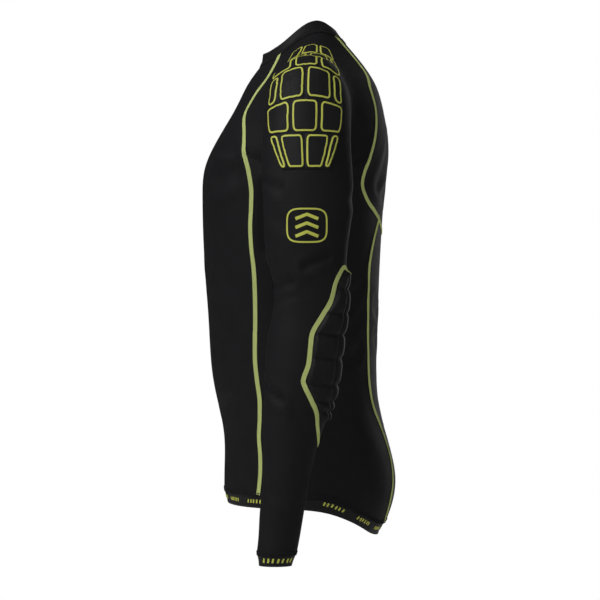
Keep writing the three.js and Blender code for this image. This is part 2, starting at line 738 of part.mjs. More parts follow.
// A quilted pad: a sheet with a plain inside whose outer points are raised into cells
function quilted(place, along, across, rise, staggered) {
  const points = [];
  const faces = [];
  const put = (line, column, out) => {
    const { point, normal } = place(line.at, column.at);
    return points.push(point.addScaledVector(normal, out)) - 1;
  };
  const isRaised = (line, column) => {
    if (!line.raised) return false;
    const edge = column.at === across[0].at || column.at === across[across.length - 1].at;
    return column.raised || (staggered && !edge && (column.bound + line.bound) % 2 === 1);
  };
  const sheet = PAD_CLEARANCE + PAD_SHEET;
  const height = (line, column) => sheet + (isRaised(line, column) ? rise : 0);
  const upper = along.map((line) => across.map((column) => put(line, column, height(line, column))));
  const plainAlong = along.filter((line) => line.plain);
  const plainAcross = across.filter((column) => column.plain);
  const lower = plainAlong.map((line) => plainAcross.map((column) => put(line, column, PAD_CLEARANCE)));

  const skin = (grid, turned) => {
    for (let i = 0; i < grid.length - 1; i += 1) {
      for (let j = 0; j < grid[0].length - 1; j += 1) {
        const square = [grid[i][j], grid[i][j + 1], grid[i + 1][j + 1], grid[i + 1][j]];
        if (turned) square.reverse();
        const [a, b, c, d] = square;
        const straight = points[a].distanceTo(points[c]) <= points[b].distanceTo(points[d]);
        faces.push(...(straight ? [a, b, c, a, c, d] : [a, b, d, b, c, d]));
      }
    }
  };
  const first = points[upper[0][1]].clone().sub(points[upper[0][0]]);
  const second = points[upper[1][0]].clone().sub(points[upper[0][0]]);
  const turned = first.cross(second).dot(place(along[0].at, across[0].at).normal) < 0;
  skin(upper, turned);
  skin(lower, !turned);

  // The rim joins the many points of the upper edge to the few of the lower one
  const gone = (line, place) => Math.abs(line[place].at - line[0].at);
  const stitch = (top, bottom) => {
    let i = 0;
    let j = 0;
    while (i < top.length - 1 || j < bottom.length - 1) {
      const topFirst = j === bottom.length - 1
        || (i < top.length - 1 && gone(top, i + 1) <= gone(bottom, j + 1));
      const corner = topFirst
        ? [top[i + 1].k, top[i].k, bottom[j].k]
        : [top[i].k, bottom[j].k, bottom[j + 1].k];
      faces.push(...(turned ? corner.reverse() : corner));
      if (topFirst) i += 1;
      else j += 1;
    }
  };
  const row = (grid, lines, i) => lines.map(({ at }, j) => ({ at, k: grid[i][j] }));
  const column = (grid, lines, j) => lines.map(({ at }, i) => ({ at, k: grid[i][j] }));
  const lastLower = [lower.length - 1, lower[0].length - 1];
  stitch(row(upper, across, 0), row(lower, plainAcross, 0));
  stitch(column(upper, along, across.length - 1), column(lower, plainAlong, lastLower[1]));
  stitch(row(upper, across, along.length - 1).reverse(), row(lower, plainAcross, lastLower[0]).reverse());
  stitch(column(upper, along, 0).reverse(), column(lower, plainAlong, 0).reverse());
  return solid(points, faces);
}

const onCloth = (point) => ({ point, normal: outward(point).normalize() });
const shoulderPad = curves(SHOULDER_PAD, "along", ["x", "z", "rise", "front", "back"]);

function shoulderPlace(along, across) {
  const middle = (shoulderPad.front(along) + shoulderPad.back(along)) / 2;
  const reach = (shoulderPad.back(along) - shoulderPad.front(along)) / 2;
  const wrap = THREE.MathUtils.degToRad(SHOULDER_WRAP);
  const y = middle + (reach * Math.sin(wrap * across)) / Math.sin(wrap);
  const rise = THREE.MathUtils.degToRad(shoulderPad.rise(along));
  const start = new THREE.Vector3(shoulderPad.x(along), y, shoulderPad.z(along));
  return onCloth(meet(start, new THREE.Vector3(Math.cos(rise), 0, Math.sin(rise))));
}

function shoulderPadSolid() {
  const length = SHOULDER_PAD[SHOULDER_PAD.length - 1].along;
  const rows = steps(SHOULDER_ROWS).map((t) => t * length);
  const halfCells = steps(SHOULDER_HALF_CELLS).map((t) => 2 * t - 1);
  const widest = Math.max(...SHOULDER_PAD.map(({ front, back }) => (back - front) / 2));
  const across = cellLines(halfCells, GROOVE / widest, 1);
  return quilted(shoulderPlace, cellLines(rows, GROOVE, 2), across, SHOULDER_CELL_RISE, true);
}

const forearmSpread = through(FOREARM_PAD, "z", "spread");

function forearmPlace(z, across) {
  const turn = THREE.MathUtils.degToRad(FOREARM_MIDDLE + forearmSpread(z) * across);
  const middleY = (arm.front(z) + arm.back(z)) / 2;
  const halfY = (arm.back(z) - arm.front(z)) / 2;
  const x = arm.middle(z) + arm.half(z) * Math.cos(turn);
  return onCloth(settle(new THREE.Vector3(x, middleY + halfY * Math.sin(turn), z)));
}

function forearmPadSolid() {
  const along = cellLines(FOREARM_ROWS, -GROOVE, 1);
  const across = cellLines(FOREARM_COLUMNS, FOREARM_GROOVE, 3);
  return quilted(forearmPlace, along, across, FOREARM_CELL_RISE, false);
}

// Each piece with its own material
const KNIT = { color: 0x202021, roughness: 0.8 };
const PAD = { color: 0x262627, roughness: 0.7 };
const BAND = { color: 0x1a1a1b, roughness: 0.7 };

const group = new THREE.Group();
group.name = "padded_compression_shirt";

function piece(name, geometry, look) {
  const material = new THREE.MeshStandardMaterial({ ...look, metalness: 0 });
  material.name = name;
  const mesh = new THREE.Mesh(geometry, material);
  mesh.name = name;
  group.add(mesh);
}

function pair(name, geometry, look) {
  piece(`${name}_left`, geometry, look);
  piece(`${name}_right`, otherSide(geometry), look);
}

piece("front_panel", wallFrom(frontGrid), KNIT);
piece("upper_back_panel", wallFrom(upperBackGrid), KNIT);
piece("lower_back_panel", wallFrom(lowerBackGrid), KNIT);
pair("side_panel", wallFrom(sideGrid), KNIT);
pair("sleeve", wallFrom(sleeveGrid, { tube: true }), KNIT);
pair("shoulder_pad", shoulderPadSolid(), PAD);
pair("forearm_pad", forearmPadSolid(), PAD);
piece("neckband", wallFrom(neckbandGrid, { tube: true, thick: BAND_WALL }), BAND);
piece("hem_band", wallFrom(hemGrid, { tube: true, thick: BAND_WALL }), BAND);
pair("cuff", wallFrom(cuffGrid, { tube: true, thick: BAND_WALL }), BAND);

export default group;
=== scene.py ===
# %% [markdown]
# # A padded compression shirt
# A close-fitting shirt for hard sport: thin stretch knit that sits on the body, foam cells on the
# shoulders and quilted foam on the backs of the forearms, sewn with lime flatlock seams. The solids of
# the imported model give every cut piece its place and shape. This lesson makes each piece soft and gives
# it its cloth, its thread and its print.

# %% Load the solids and keep their box
import json
import math

import bmesh
import bpy
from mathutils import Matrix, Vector
from mathutils.bvhtree import BVHTree

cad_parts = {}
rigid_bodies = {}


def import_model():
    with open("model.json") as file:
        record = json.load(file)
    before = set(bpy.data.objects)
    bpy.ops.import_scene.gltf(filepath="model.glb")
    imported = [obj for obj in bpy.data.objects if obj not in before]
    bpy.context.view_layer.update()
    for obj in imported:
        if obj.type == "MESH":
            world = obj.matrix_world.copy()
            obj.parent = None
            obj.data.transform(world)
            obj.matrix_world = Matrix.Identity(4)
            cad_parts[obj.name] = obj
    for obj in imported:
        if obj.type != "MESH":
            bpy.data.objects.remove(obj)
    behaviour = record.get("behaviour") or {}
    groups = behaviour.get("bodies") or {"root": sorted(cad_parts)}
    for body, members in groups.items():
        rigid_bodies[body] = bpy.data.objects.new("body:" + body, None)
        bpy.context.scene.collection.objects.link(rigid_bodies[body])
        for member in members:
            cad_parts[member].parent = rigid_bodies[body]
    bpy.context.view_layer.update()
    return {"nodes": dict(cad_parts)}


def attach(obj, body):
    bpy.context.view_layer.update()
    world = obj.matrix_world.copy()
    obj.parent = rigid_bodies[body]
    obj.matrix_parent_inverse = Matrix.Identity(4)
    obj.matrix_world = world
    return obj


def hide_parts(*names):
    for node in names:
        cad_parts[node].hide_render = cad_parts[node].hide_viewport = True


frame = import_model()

print("solids:", sorted(frame["nodes"]))

# %% [markdown]
# ## Camera
# The shirt is seen exactly from its left side, from a long way off, so almost nothing narrows with
# distance. A long lens far away gives that. The picture is 600 pixels wide and covers 810 mm at the
# middle of the shirt.

# %% Place the camera
MM = 0.001
PICTURE_WIDTH = 810 * MM
CAMERA_DISTANCE = 4.0
PICTURE_CENTRE = Vector((0, -2.7 * MM, -351 * MM))
SENSOR = 36.0

bpy.ops.object.select_all(action="DESELECT")
bpy.ops.object.camera_add(
    location=PICTURE_CENTRE + Vector((CAMERA_DISTANCE, 0, 0)),
    rotation=(math.radians(90), 0, math.radians(90)),
)
camera = bpy.context.object
camera.name = "camera"
camera.data.sensor_width = SENSOR
camera.data.lens = SENSOR * CAMERA_DISTANCE / PICTURE_WIDTH
bpy.context.scene.camera = camera
print("lens", round(camera.data.lens, 1), "mm")

# %% [markdown]
# ## Colours and nodes
# Colours are written as a designer would give them, in sRGB hex, and turned to the linear values that
# Blender's shaders use. Nodes could be placed by hand in the shader editor. In a script one helper that
# adds any node, sets it up and links it keeps each material short enough to read.

# %% Colour, node and material helpers
def linear(hex_colour):
    """Turn an sRGB hex colour into linear red, green, blue and alpha."""
    channels = [int(hex_colour[i:i + 2], 16) / 255 for i in (1, 3, 5)]
    return [c / 12.92 if c <= 0.04045 else ((c + 0.055) / 1.055) ** 2.4 for c in channels] + [1.0]


def add(tree, kind, sockets=None, **settings):
    """Add a node, set its own settings, then fill its sockets with values or with other nodes' outputs."""
    made = tree.nodes.new(kind)
    for setting, value in settings.items():
        setattr(made, setting, value)
    for socket, value in (sockets or {}).items():
        if isinstance(value, bpy.types.NodeSocket):
            tree.links.new(value, made.inputs[socket])
        else:
            made.inputs[socket].default_value = value
    return made


def new_material(name):
    """An empty node material with its shader already joined to the output."""
    made = bpy.data.materials.new(name)
    made.use_nodes = True
    tree = made.node_tree
    tree.nodes.clear()
    shader = add(tree, "ShaderNodeBsdfPrincipled")
    add(tree, "ShaderNodeOutputMaterial", {"Surface": shader.outputs["BSDF"]})
    return made, tree, shader


# %% [markdown]
# ## Black knit
# The body is a warp knit of polyester and elastane. Its face has fine upright wales that catch a little
# light, and its dye is a very dark grey rather than a true black. A picture of knit could be laid over
# it, but waves made by nodes keep their real size on every piece. The wales are about 0.6 mm apart in
# real cloth. Here they are 1.3 mm apart, because finer ones would not show. The map that the pattern
# reads is the flat cut of each piece in metres, so the wales run with the cloth.

# %% Knit for the body, the pads and the inside
WALE = 1.3 * MM
COURSE = 1.0 * MM
MOTTLE = 35 * MM
# A loop stands half as high as a wale
LOOP_SHARE = 0.5
SHEEN_ROUGHNESS = 0.45
FULL_TURN = 2 * math.pi


def knit(name, dye, shade, roughness, relief, shine, sheen):
    """Knitted cloth, mottled from dye to shade, with wales and loops of this relief."""
    made, tree, shader = new_material(name)
    cut = add(tree, "ShaderNodeUVMap", uv_map="cut").outputs["UV"]
    across = add(tree, "ShaderNodeMapping", {"Vector": cut, "Scale": (1 / WALE, 1 / COURSE, 1)})
    apart = add(tree, "ShaderNodeSeparateXYZ", {"Vector": across.outputs["Vector"]})
    wale = add(tree, "ShaderNodeMath", {0: apart.outputs["X"], 1: FULL_TURN}, operation="MULTIPLY")
    ridge = add(tree, "ShaderNodeMath", {0: wale.outputs[0]}, operation="SINE")
    loop = add(tree, "ShaderNodeMath", {0: apart.outputs["Y"], 1: FULL_TURN}, operation="MULTIPLY")
    # Each loop leans: the rows are shifted along by the wale's own wave
    lean = add(tree, "ShaderNodeMath", {0: loop.outputs[0], 1: ridge.outputs[0]}, operation="ADD")
    purl = add(tree, "ShaderNodeMath", {0: lean.outputs[0]}, operation="SINE")
    face = add(
        tree, "ShaderNodeMath", {0: purl.outputs[0], 1: LOOP_SHARE, 2: ridge.outputs[0]},
        operation="MULTIPLY_ADD")
    bump = add(
        tree, "ShaderNodeBump", {"Height": face.outputs[0], "Strength": 1.0, "Distance": relief})
    place = add(tree, "ShaderNodeTexCoord").outputs["Object"]
    uneven = add(
        tree, "ShaderNodeTexNoise",
        {"Vector": place, "Scale": 1 / MOTTLE, "Detail": 3.0, "Roughness": 0.6})
    dyed = add(
        tree, "ShaderNodeMix",
        {"Factor": uneven.outputs["Fac"], "A": linear(shade), "B": linear(dye)}, data_type="RGBA")
    tree.links.new(dyed.outputs["Result"], shader.inputs["Base Color"])
    tree.links.new(bump.outputs["Normal"], shader.inputs["Normal"])
    shader.inputs["Roughness"].default_value = roughness
    shader.inputs["Specular IOR Level"].default_value = shine
    shader.inputs["Sheen Weight"].default_value = sheen
    shader.inputs["Sheen Roughness"].default_value = SHEEN_ROUGHNESS
    return made


# Polyester and elastane warp knit, dyed black: dull, with hardly any shine
black_knit = knit("warp_knit_polyester_black", "#202022", "#1a1a1c", 0.6, 0.05 * MM, 0.11, 0.0)
# The same yarn, brushed on the inside: duller, a little paler, and faintly fluffy at its edges
inner_knit = knit("brushed_inside_of_warp_knit", "#242426", "#1f1f21", 0.85, 0.04 * MM, 0.1, 0.03)
# Knit bonded over moulded foam: stretched flat, so it is a little smoother
pad_knit = knit("knit_bonded_over_foam_black", "#212123", "#1c1c1e", 0.5, 0.04 * MM, 0.12, 0.0)
print("materials:", black_knit.name, inner_knit.name, pad_knit.name)

# %% [markdown]
# ## Elastic, thread and print
# The neck, cuffs and hem end in woven elastic with fine ribs along it. The seams are covered by a
# textured polyester thread, most of it lime. The outlines of the cells and the marks on sleeve, cuffs
# and hem are a thin rubbery print. Ribs and fibres could be modelled, but they are a tenth of a
# millimetre high, so they are left to the shading.

# %% Elastic band, threads and lime print
RIB = 2.2 * MM
RIB_RELIEF = 0.12 * MM


def woven_elastic(name, dye):
    """Elastic with fine ribs along the band."""
    made, tree, shader = new_material(name)
    cut = add(tree, "ShaderNodeUVMap", uv_map="cut").outputs["UV"]
    apart = add(tree, "ShaderNodeSeparateXYZ", {"Vector": cut})
    ribs = add(
        tree, "ShaderNodeMath", {0: apart.outputs["Y"], 1: FULL_TURN / RIB}, operation="MULTIPLY")
    rib = add(tree, "ShaderNodeMath", {0: ribs.outputs[0]}, operation="SINE")
    bump = add(
        tree, "ShaderNodeBump", {"Height": rib.outputs[0], "Strength": 1.0, "Distance": RIB_RELIEF})
    tree.links.new(bump.outputs["Normal"], shader.inputs["Normal"])
    shader.inputs["Base Color"].default_value = linear(dye)
    shader.inputs["Roughness"].default_value = 0.55
    shader.inputs["Specular IOR Level"].default_value = 0.2
    return made


def dyed_thing(name, bright, deep, roughness, grain, relief):
    """A plain dull stuff, mottled from bright to deep by grains of one size."""
    made, tree, shader = new_material(name)
    place = add(tree, "ShaderNodeTexCoord").outputs["Object"]
    fibres = add(tree, "ShaderNodeTexNoise", {"Vector": place, "Scale": 1 / grain, "Detail": 2.0})
    dyed = add(
        tree, "ShaderNodeMix",
        {"Factor": fibres.outputs["Fac"], "A": linear(deep), "B": linear(bright)}, data_type="RGBA")
    bump = add(
        tree, "ShaderNodeBump", {"Height": fibres.outputs["Fac"], "Strength": 1.0, "Distance": relief})
    tree.links.new(dyed.outputs["Result"], shader.inputs["Base Color"])
    tree.links.new(bump.outputs["Normal"], shader.inputs["Normal"])
    shader.inputs["Roughness"].default_value = roughness
    shader.inputs["Specular IOR Level"].default_value = 0.25
    return made


# Woven elastic, dyed black: ribbed along its length, with a slight shine on each rib
elastic = woven_elastic("woven_elastic_black", "#1c1c1e")
# Textured polyester thread: soft and fluffy, so its lime is pale and muted
FLUFF = {"roughness": 0.8, "grain": 1.5 * MM, "relief": 0.2 * MM}
lime_thread = dyed_thing("textured_polyester_thread_lime", "#dde79c", "#c3cf7c", **FLUFF)
# The same thread in black, for the seams that are not meant to show
black_thread = dyed_thing("textured_polyester_thread_black", "#1d1d1f", "#151516", **FLUFF)
# Rubber transfer print: smooth and flat, yellower than the thread
print_film = dyed_thing("rubber_transfer_print_lime", "#d9dd66", "#cbcf5b", 0.5, 4 * MM, 0.02 * MM)
print("materials:", elastic.name, lime_thread.name, black_thread.name, print_film.name)

# %% [markdown]
# ## From a solid to a piece of cloth
# A cloth solid is a wall with an outer skin, an inner skin and narrow rims. Knit this thin could be
# draped over a body by simulation, but a shirt that fits closely simply follows the solid. So a copy of
# the solid is merged, and its triangles are joined to squares, which a subdivision surface can round
# evenly.

# %% Copy a solid and join its squares
SQUARE_ANGLE = math.radians(40)
SAME_CORNER = 0.02 * MM


def only(piece):
    """Select one piece and nothing else."""
    bpy.ops.object.select_all(action="DESELECT")
    piece.select_set(True)
    bpy.context.view_layer.objects.active = piece


def copy_of(node, name):
    """A new object with the node's mesh, merged and made of squares."""
    piece = bpy.data.objects.new(name, bpy.data.objects[node].data.copy())
    bpy.context.scene.collection.objects.link(piece)
    piece.data.materials.clear()
    only(piece)
    bpy.ops.object.mode_set(mode="EDIT")
    bpy.ops.mesh.select_all(action="SELECT")
    bpy.ops.mesh.remove_doubles(threshold=SAME_CORNER)
    bpy.ops.mesh.tris_convert_to_quads(face_threshold=SQUARE_ANGLE, shape_threshold=SQUARE_ANGLE)
    bpy.ops.object.mode_set(mode="OBJECT")
    return piece


def apply(piece, kind, **settings):
    """Add a modifier with its settings and apply it."""
    only(piece)
    modifier = piece.modifiers.new(kind.title(), kind)
    for setting, value in settings.items():
        setattr(modifier, setting, value)
    bpy.ops.object.modifier_apply(modifier=modifier.name)


# %% [markdown]
# The outside of the shirt and its brushed inside are different cloth to the eye. The faces of each
# could be picked by hand. Here they are found by walking from face to face without crossing a sharp
# edge: the widest group is the outer skin, the next is the inner one, and the narrow ones are rims.

# %% Find the outer skin, the inner skin and the rims
RIM_ANGLE = math.radians(45)
OUTSIDE, INSIDE = 0, 1


def skins(mesh):
    """Groups of faces between sharp edges, the widest first: outer skin, inner skin, then rims."""
    shell = bmesh.new()
    shell.from_mesh(mesh)
    waiting = set(shell.faces)
    groups = []
    while waiting:
        group = [waiting.pop()]
        for face in group:
            for edge in face.edges:
                if len(edge.link_faces) == 2 and edge.calc_face_angle() > RIM_ANGLE:
                    continue
                for beside in edge.link_faces:
                    if beside in waiting:
                        waiting.discard(beside)
                        group.append(beside)
        groups.append((sum(face.calc_area() for face in group), [face.index for face in group]))
    shell.free()
    return sorted(groups, reverse=True)


def tag_outer_skin(piece):
    """Give the outer skin the first material slot, and the inner skin and the rims the second."""
    outer = set(skins(piece.data)[0][1])
    for face in piece.data.polygons:
        face.material_index = OUTSIDE if face.index in outer else INSIDE


# %% [markdown]
# Every cut piece was once flat. Unwrapping a piece between its rims gives that flat cut, and its size
# is what the cutter would cut. A sleeve or a band is a closed ring, so it can't lie flat until it is
# cut open: its closing seam is the shortest line of edges from its upper edge to its lower one, once on
# the outer skin and once on the inner one. The rims are creased too, so that subdivision rounds the
# cloth but keeps its cut edges crisp.

# %% Unwrap a piece into its flat cut, in metres
ISLAND_MARGIN = 0.01


def rim_corner(shell, point, slot):
    """The corner nearest to a point on the cut edge of the outer or the inner skin."""
    rims = {v for edge in shell.edges if edge.calc_face_angle(0) > RIM_ANGLE for v in edge.verts}
    corners = [v for v in rims
               if any(face.material_index == OUTSIDE for face in v.link_faces) == (slot == OUTSIDE)]
    return min(corners, key=lambda v: (v.co - point).length)


def mark_closing_seam(piece, start, end):
    """Mark the shortest line of edges from start to end as a seam, on both skins."""
    for slot in (OUTSIDE, INSIDE):
        bpy.ops.mesh.select_all(action="DESELECT")
        shell = bmesh.from_edit_mesh(piece.data)
        shell.select_mode = {"VERT"}
        for point in (start, end):
            rim_corner(shell, point, slot).select = True
        bmesh.update_edit_mesh(piece.data)
        bpy.ops.mesh.shortest_path_select()
        bpy.ops.mesh.mark_seam()


def lay_flat(piece, closing=None):
    """Unwrap the piece between its rims, then scale and turn the map so that it is the cut in metres."""
    only(piece)
    bpy.ops.object.mode_set(mode="EDIT")
    bpy.ops.mesh.select_mode(type="VERT")
    if closing:
        mark_closing_seam(piece, *closing)
    bpy.ops.mesh.select_all(action="DESELECT")
    bpy.ops.mesh.select_mode(type="EDGE")
    bpy.ops.mesh.edges_select_sharp(sharpness=RIM_ANGLE)
    bpy.ops.mesh.mark_seam()
    bpy.ops.transform.edge_crease(value=1)
    bpy.ops.mesh.select_all(action="SELECT")
    bpy.ops.uv.unwrap(method="MINIMUM_STRETCH", margin=ISLAND_MARGIN)
    bpy.ops.object.mode_set(mode="OBJECT")
    return true_to_size(piece)


def true_to_size(piece):
    """Scale the map to metres by the outer skin's area, and turn it so that its second axis points up."""
    mesh = piece.data
    cut = mesh.uv_layers.active
    cut.name = "cut"
    outer = [face for face in mesh.polygons if face.material_index == OUTSIDE]
    corners = [(cut.data[k].uv.copy(), mesh.vertices[mesh.loops[k].vertex_index].co.z)
               for face in outer for k in face.loop_indices]
    flat_area = sum(
        abs(sum(a.cross(b) for a, b in zip(ring, ring[1:] + ring[:1]))) / 2
        for ring in ([cut.data[k].uv for k in face.loop_indices] for face in outer))
    area = sum(face.area for face in outer)
    scale = math.sqrt(area / flat_area)
    # The direction in the map along which height grows fastest
    mean_u = sum(uv.x for uv, _ in corners) / len(corners)
    mean_v = sum(uv.y for uv, _ in corners) / len(corners)
    mean_z = sum(z for _, z in corners) / len(corners)
    uu = sum((uv.x - mean_u) ** 2 for uv, _ in corners)
    vv = sum((uv.y - mean_v) ** 2 for uv, _ in corners)
    uv_both = sum((uv.x - mean_u) * (uv.y - mean_v) for uv, _ in corners)
    uz = sum((uv.x - mean_u) * (z - mean_z) for uv, z in corners)
    vz = sum((uv.y - mean_v) * (z - mean_z) for uv, z in corners)
    rise = Vector((uz * vv - vz * uv_both, vz * uu - uz * uv_both)).normalized()
    for corner in cut.data:
        u, v = corner.uv
        corner.uv = (scale * (u * rise.y - v * rise.x), scale * (u * rise.x + v * rise.y))
    across = [cut.data[k].uv.x for face in outer for k in face.loop_indices]
    along = [cut.data[k].uv.y for face in outer for k in face.loop_indices]
    return (max(across) - min(across), max(along) - min(along)), area


# %% [markdown]
# ## Folds
# Stretch knit has few folds, and they sit where the body bends: across the chest in front of the
# armpit, round the elbow, at the waist. Each one is a soft trough with a low ridge beside it, pressed
# into the cloth between two points. The points are placed as they are seen from one side of the shirt.
# A cloth simulation would put its folds where it likes, so these are listed one by one.

# %% Press folds into a piece
# A fold's reach and its ridge's place are counted in widths of the trough
FOLD_REACH = 3.0
RIDGE_PLACE = 1.9
RIDGE_SHARE = 0.45
RIDGE_NARROWNESS = 2


def outer_tree(*pieces):
    """A search tree of the outer skins of some pieces."""
    corners, faces = [], []
    for piece in pieces:
        first = len(corners)
        corners += [v.co.copy() for v in piece.data.vertices]
        faces += [[first + v for v in face.vertices]
                  for face in piece.data.polygons if face.material_index == OUTSIDE]
    return BVHTree.FromPolygons(corners, faces)


# Well outside the shirt, and the way to look from there
FAR = 0.6
LOOKING = {
    "left": (Vector((FAR, 0, 0)), Vector((-1, 0, 0))),
    "front": (Vector((0, -FAR, 0)), Vector((0, 1, 0))),
    "back": (Vector((0, FAR, 0)), Vector((0, -1, 0))),
}


def seen(tree, side, across, up):
    """The point and normal of the cloth that shows at a place, in millimetres, from one side."""
    start, direction = LOOKING[side]
    place = Vector((0, across * MM, up * MM)) if side == "left" else Vector((across * MM, 0, up * MM))
    point, normal, _, _ = tree.ray_cast(start + place, direction)
    if point is None:
        raise ValueError(f"no cloth {side} of {across}, {up}")
    return point, normal


def fold_line(tree, side, start, end, depth, width):
    """A fold's two ends, the way it is pressed in, and its depth and width in metres."""
    a, lean_a = seen(tree, side, *start)
    b, lean_b = seen(tree, side, *end)
    return a, b, -(lean_a + lean_b).normalized(), depth * MM, width * MM


def mirrored(line):
    """The same fold on the other side of the shirt."""
    a, b, inward, depth, width = line
    return *(Vector((-v.x, v.y, v.z)) for v in (a, b, inward)), depth, width


def pull(point, line):
    """How far a fold moves a point of the cloth."""
    a, b, inward, depth, width = line
    run = b - a
    t = min(max((point - a).dot(run) / run.length_squared, 0), 1)
    away = (point - a - run * t).length / width
    if away > FOLD_REACH:
        return Vector()
    trough = math.exp(-away * away)
    ridge = RIDGE_SHARE * math.exp(-((away - RIDGE_PLACE) ** 2) * RIDGE_NARROWNESS)
    return inward * (depth * (trough - ridge))


# %% [markdown]
# ## The cut pieces
# Front, two back pieces, two side panels and two raglan sleeves, as the shirt is sewn. They could all
# be one skin with lines drawn on it, but each is its own piece here, as it is cut. It is made from its
# solid, laid flat to find its cut, and subdivided. The sleeves close under the arm, where the real
# seam is. The bands are made in the same way, so one function serves both.

# %% Make every panel and sleeve
CLOTH_LEVELS = 2
UNDERARM = [Vector((160, 8, -185)) * MM, Vector((214, -30, -672)) * MM]


def finish_piece(piece, angle=RIM_ANGLE):
    """Shade a piece smooth but for its edges sharper than angle, and let it ride the shirt's one body."""
    only(piece)
    bpy.ops.object.shade_smooth_by_angle(angle=angle)
    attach(piece, "root")


def sewn_piece(node, closing=None, kind="cloth", outside=black_knit, inside=inner_knit):
    """A cut piece made from its solid. closing is the seam that opens a ring, from edge to edge."""
    piece = copy_of(node, f"{node}_{kind}")
    tag_outer_skin(piece)
    flat, area = lay_flat(piece, closing)
    apply(piece, "SUBSURF", levels=CLOTH_LEVELS, render_levels=CLOTH_LEVELS)
    piece.data.materials.append(outside)
    piece.data.materials.append(inside)
    finish_piece(piece)
    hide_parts(node)
    wide, high = (round(length / MM) for length in flat)
    print(f"{piece.name}: cut {wide} x {high} mm, {len(piece.data.polygons)} faces")
    return piece


def other_side(points):
    """The same points on the other side of the shirt."""
    return [Vector((-p.x, p.y, p.z)) for p in points]


front = sewn_piece("front_panel")
upper_back = sewn_piece("upper_back_panel")
lower_back = sewn_piece("lower_back_panel")
side_left = sewn_piece("side_panel_left")
side_right = sewn_piece("side_panel_right")
sleeve_left = sewn_piece("sleeve_left", closing=UNDERARM)
sleeve_right = sewn_piece("sleeve_right", closing=other_side(UNDERARM))

# %% [markdown]
# Real folds run on from piece to piece. So each one is pressed into all the pieces that lie near it,
# and two pieces stay together at their seam. They are given in millimetres, as uneven in length, depth
# and spacing as real ones. The folds of a side panel and of a sleeve are pressed into the other side of
# the shirt too.

# %% Place the folds and press them in
FOLD_TABLE = [
    (front, [
        {"side": "left", "start": (-108, -153), "end": (-86, -158), "depth": 3.2, "width": 6},
        {"side": "left", "start": (-112, -190), "end": (-90, -184), "depth": 5.0, "width": 13},
        {"side": "front", "start": (-60, -134), "end": (-118, -164), "depth": 2.4, "width": 8},
        {"side": "front", "start": (48, -306), "end": (125, -330), "depth": 2.2, "width": 11},
        {"side": "front", "start": (-64, -344), "end": (-128, -322), "depth": 2.6, "width": 12},
        {"side": "front", "start": (-96, -476), "end": (-50, -490), "depth": 2.0, "width": 10},
        {"side": "front", "start": (52, -500), "end": (96, -486), "depth": 2.0, "width": 10},
        {"side": "front", "start": (70, -418), "end": (122, -400), "depth": 1.8, "width": 9},
        {"side": "front", "start": (-118, -432), "end": (-84, -446), "depth": 1.6, "width": 9},
    ]),
    (side_left, [
        {"side": "left", "start": (77, -334), "end": (60, -354), "depth": 3.6, "width": 7},
        {"side": "left", "start": (76, -376), "end": (64, -388), "depth": 2.6, "width": 6},
        {"side": "left", "start": (74, -419), "end": (52, -440), "depth": 3.6, "width": 8},
        {"side": "left", "start": (-46, -206), "end": (-44, -286), "depth": 2.6, "width": 9},
    ]),
    (lower_back, [
        {"side": "back", "start": (-64, -350), "end": (-36, -360), "depth": 2.8, "width": 9},
        {"side": "back", "start": (36, -368), "end": (62, -358), "depth": 2.4, "width": 9},
        {"side": "back", "start": (34, -408), "end": (56, -399), "depth": 2.2, "width": 8},
        {"side": "back", "start": (-56, -442), "end": (-32, -452), "depth": 2.2, "width": 9},
        {"side": "back", "start": (30, -504), "end": (50, -496), "depth": 1.6, "width": 8},
    ]),
    (upper_back, [
        {"side": "back", "start": (40, -140), "end": (86, -198), "depth": 2.2, "width": 11},
        {"side": "back", "start": (-52, -128), "end": (-92, -188), "depth": 2.6, "width": 12},
        {"side": "back", "start": (42, -214), "end": (78, -204), "depth": 1.8, "width": 9},
    ]),
    (sleeve_left, [
        {"side": "left", "start": (-49, -199), "end": (-27, -211), "depth": 4.6, "width": 5.5},
        {"side": "left", "start": (-38, -244), "end": (-12, -262), "depth": 1.3, "width": 8},
        {"side": "left", "start": (4, -309), "end": (31, -296), "depth": 3.6, "width": 5.5},
        {"side": "left", "start": (-32, -334), "end": (-14, -329), "depth": 3.8, "width": 6},
        {"side": "left", "start": (-30, -352), "end": (-12, -344), "depth": 1.2, "width": 6},
        {"side": "left", "start": (-46, -461), "end": (-27, -477), "depth": 4.6, "width": 5.5},
        {"side": "left", "start": (-9, -497), "end": (2, -508), "depth": 2.0, "width": 5.5},
        {"side": "left", "start": (-44, -590), "end": (-24, -602), "depth": 1.2, "width": 7},
        {"side": "front", "start": (246, -300), "end": (214, -322), "depth": 2.0, "width": 6},
        {"side": "front", "start": (236, -326), "end": (210, -344), "depth": 1.4, "width": 6},
        {"side": "back", "start": (196, -208), "end": (236, -226), "depth": 1.6, "width": 8},
    ]),
]
ON_BOTH_SIDES = (side_left, sleeve_left)

PANELS_AND_SLEEVES = (front, upper_back, lower_back, side_left, side_right, sleeve_left, sleeve_right)

fold_lines = []
for piece, folds in FOLD_TABLE:
    tree = outer_tree(piece)
    for fold in folds:
        fold_lines.append(fold_line(tree, **fold))
        if piece in ON_BOTH_SIDES:
            fold_lines.append(mirrored(fold_lines[-1]))
for piece in PANELS_AND_SLEEVES:
    for vertex in piece.data.vertices:
        vertex.co += sum((pull(vertex.co, line) for line in fold_lines), Vector())
print("folds:", len(fold_lines))

# %% [markdown]
# ## The bands
# Neckband, hem band and cuffs are closed rings of elastic, a little thicker than the knit. Their ends
# are joined at the middle of the back, or under the arm. A band could be bent from a flat strip. Its
# solid already has its shape, so it is made as the panels are, with elastic on both sides.

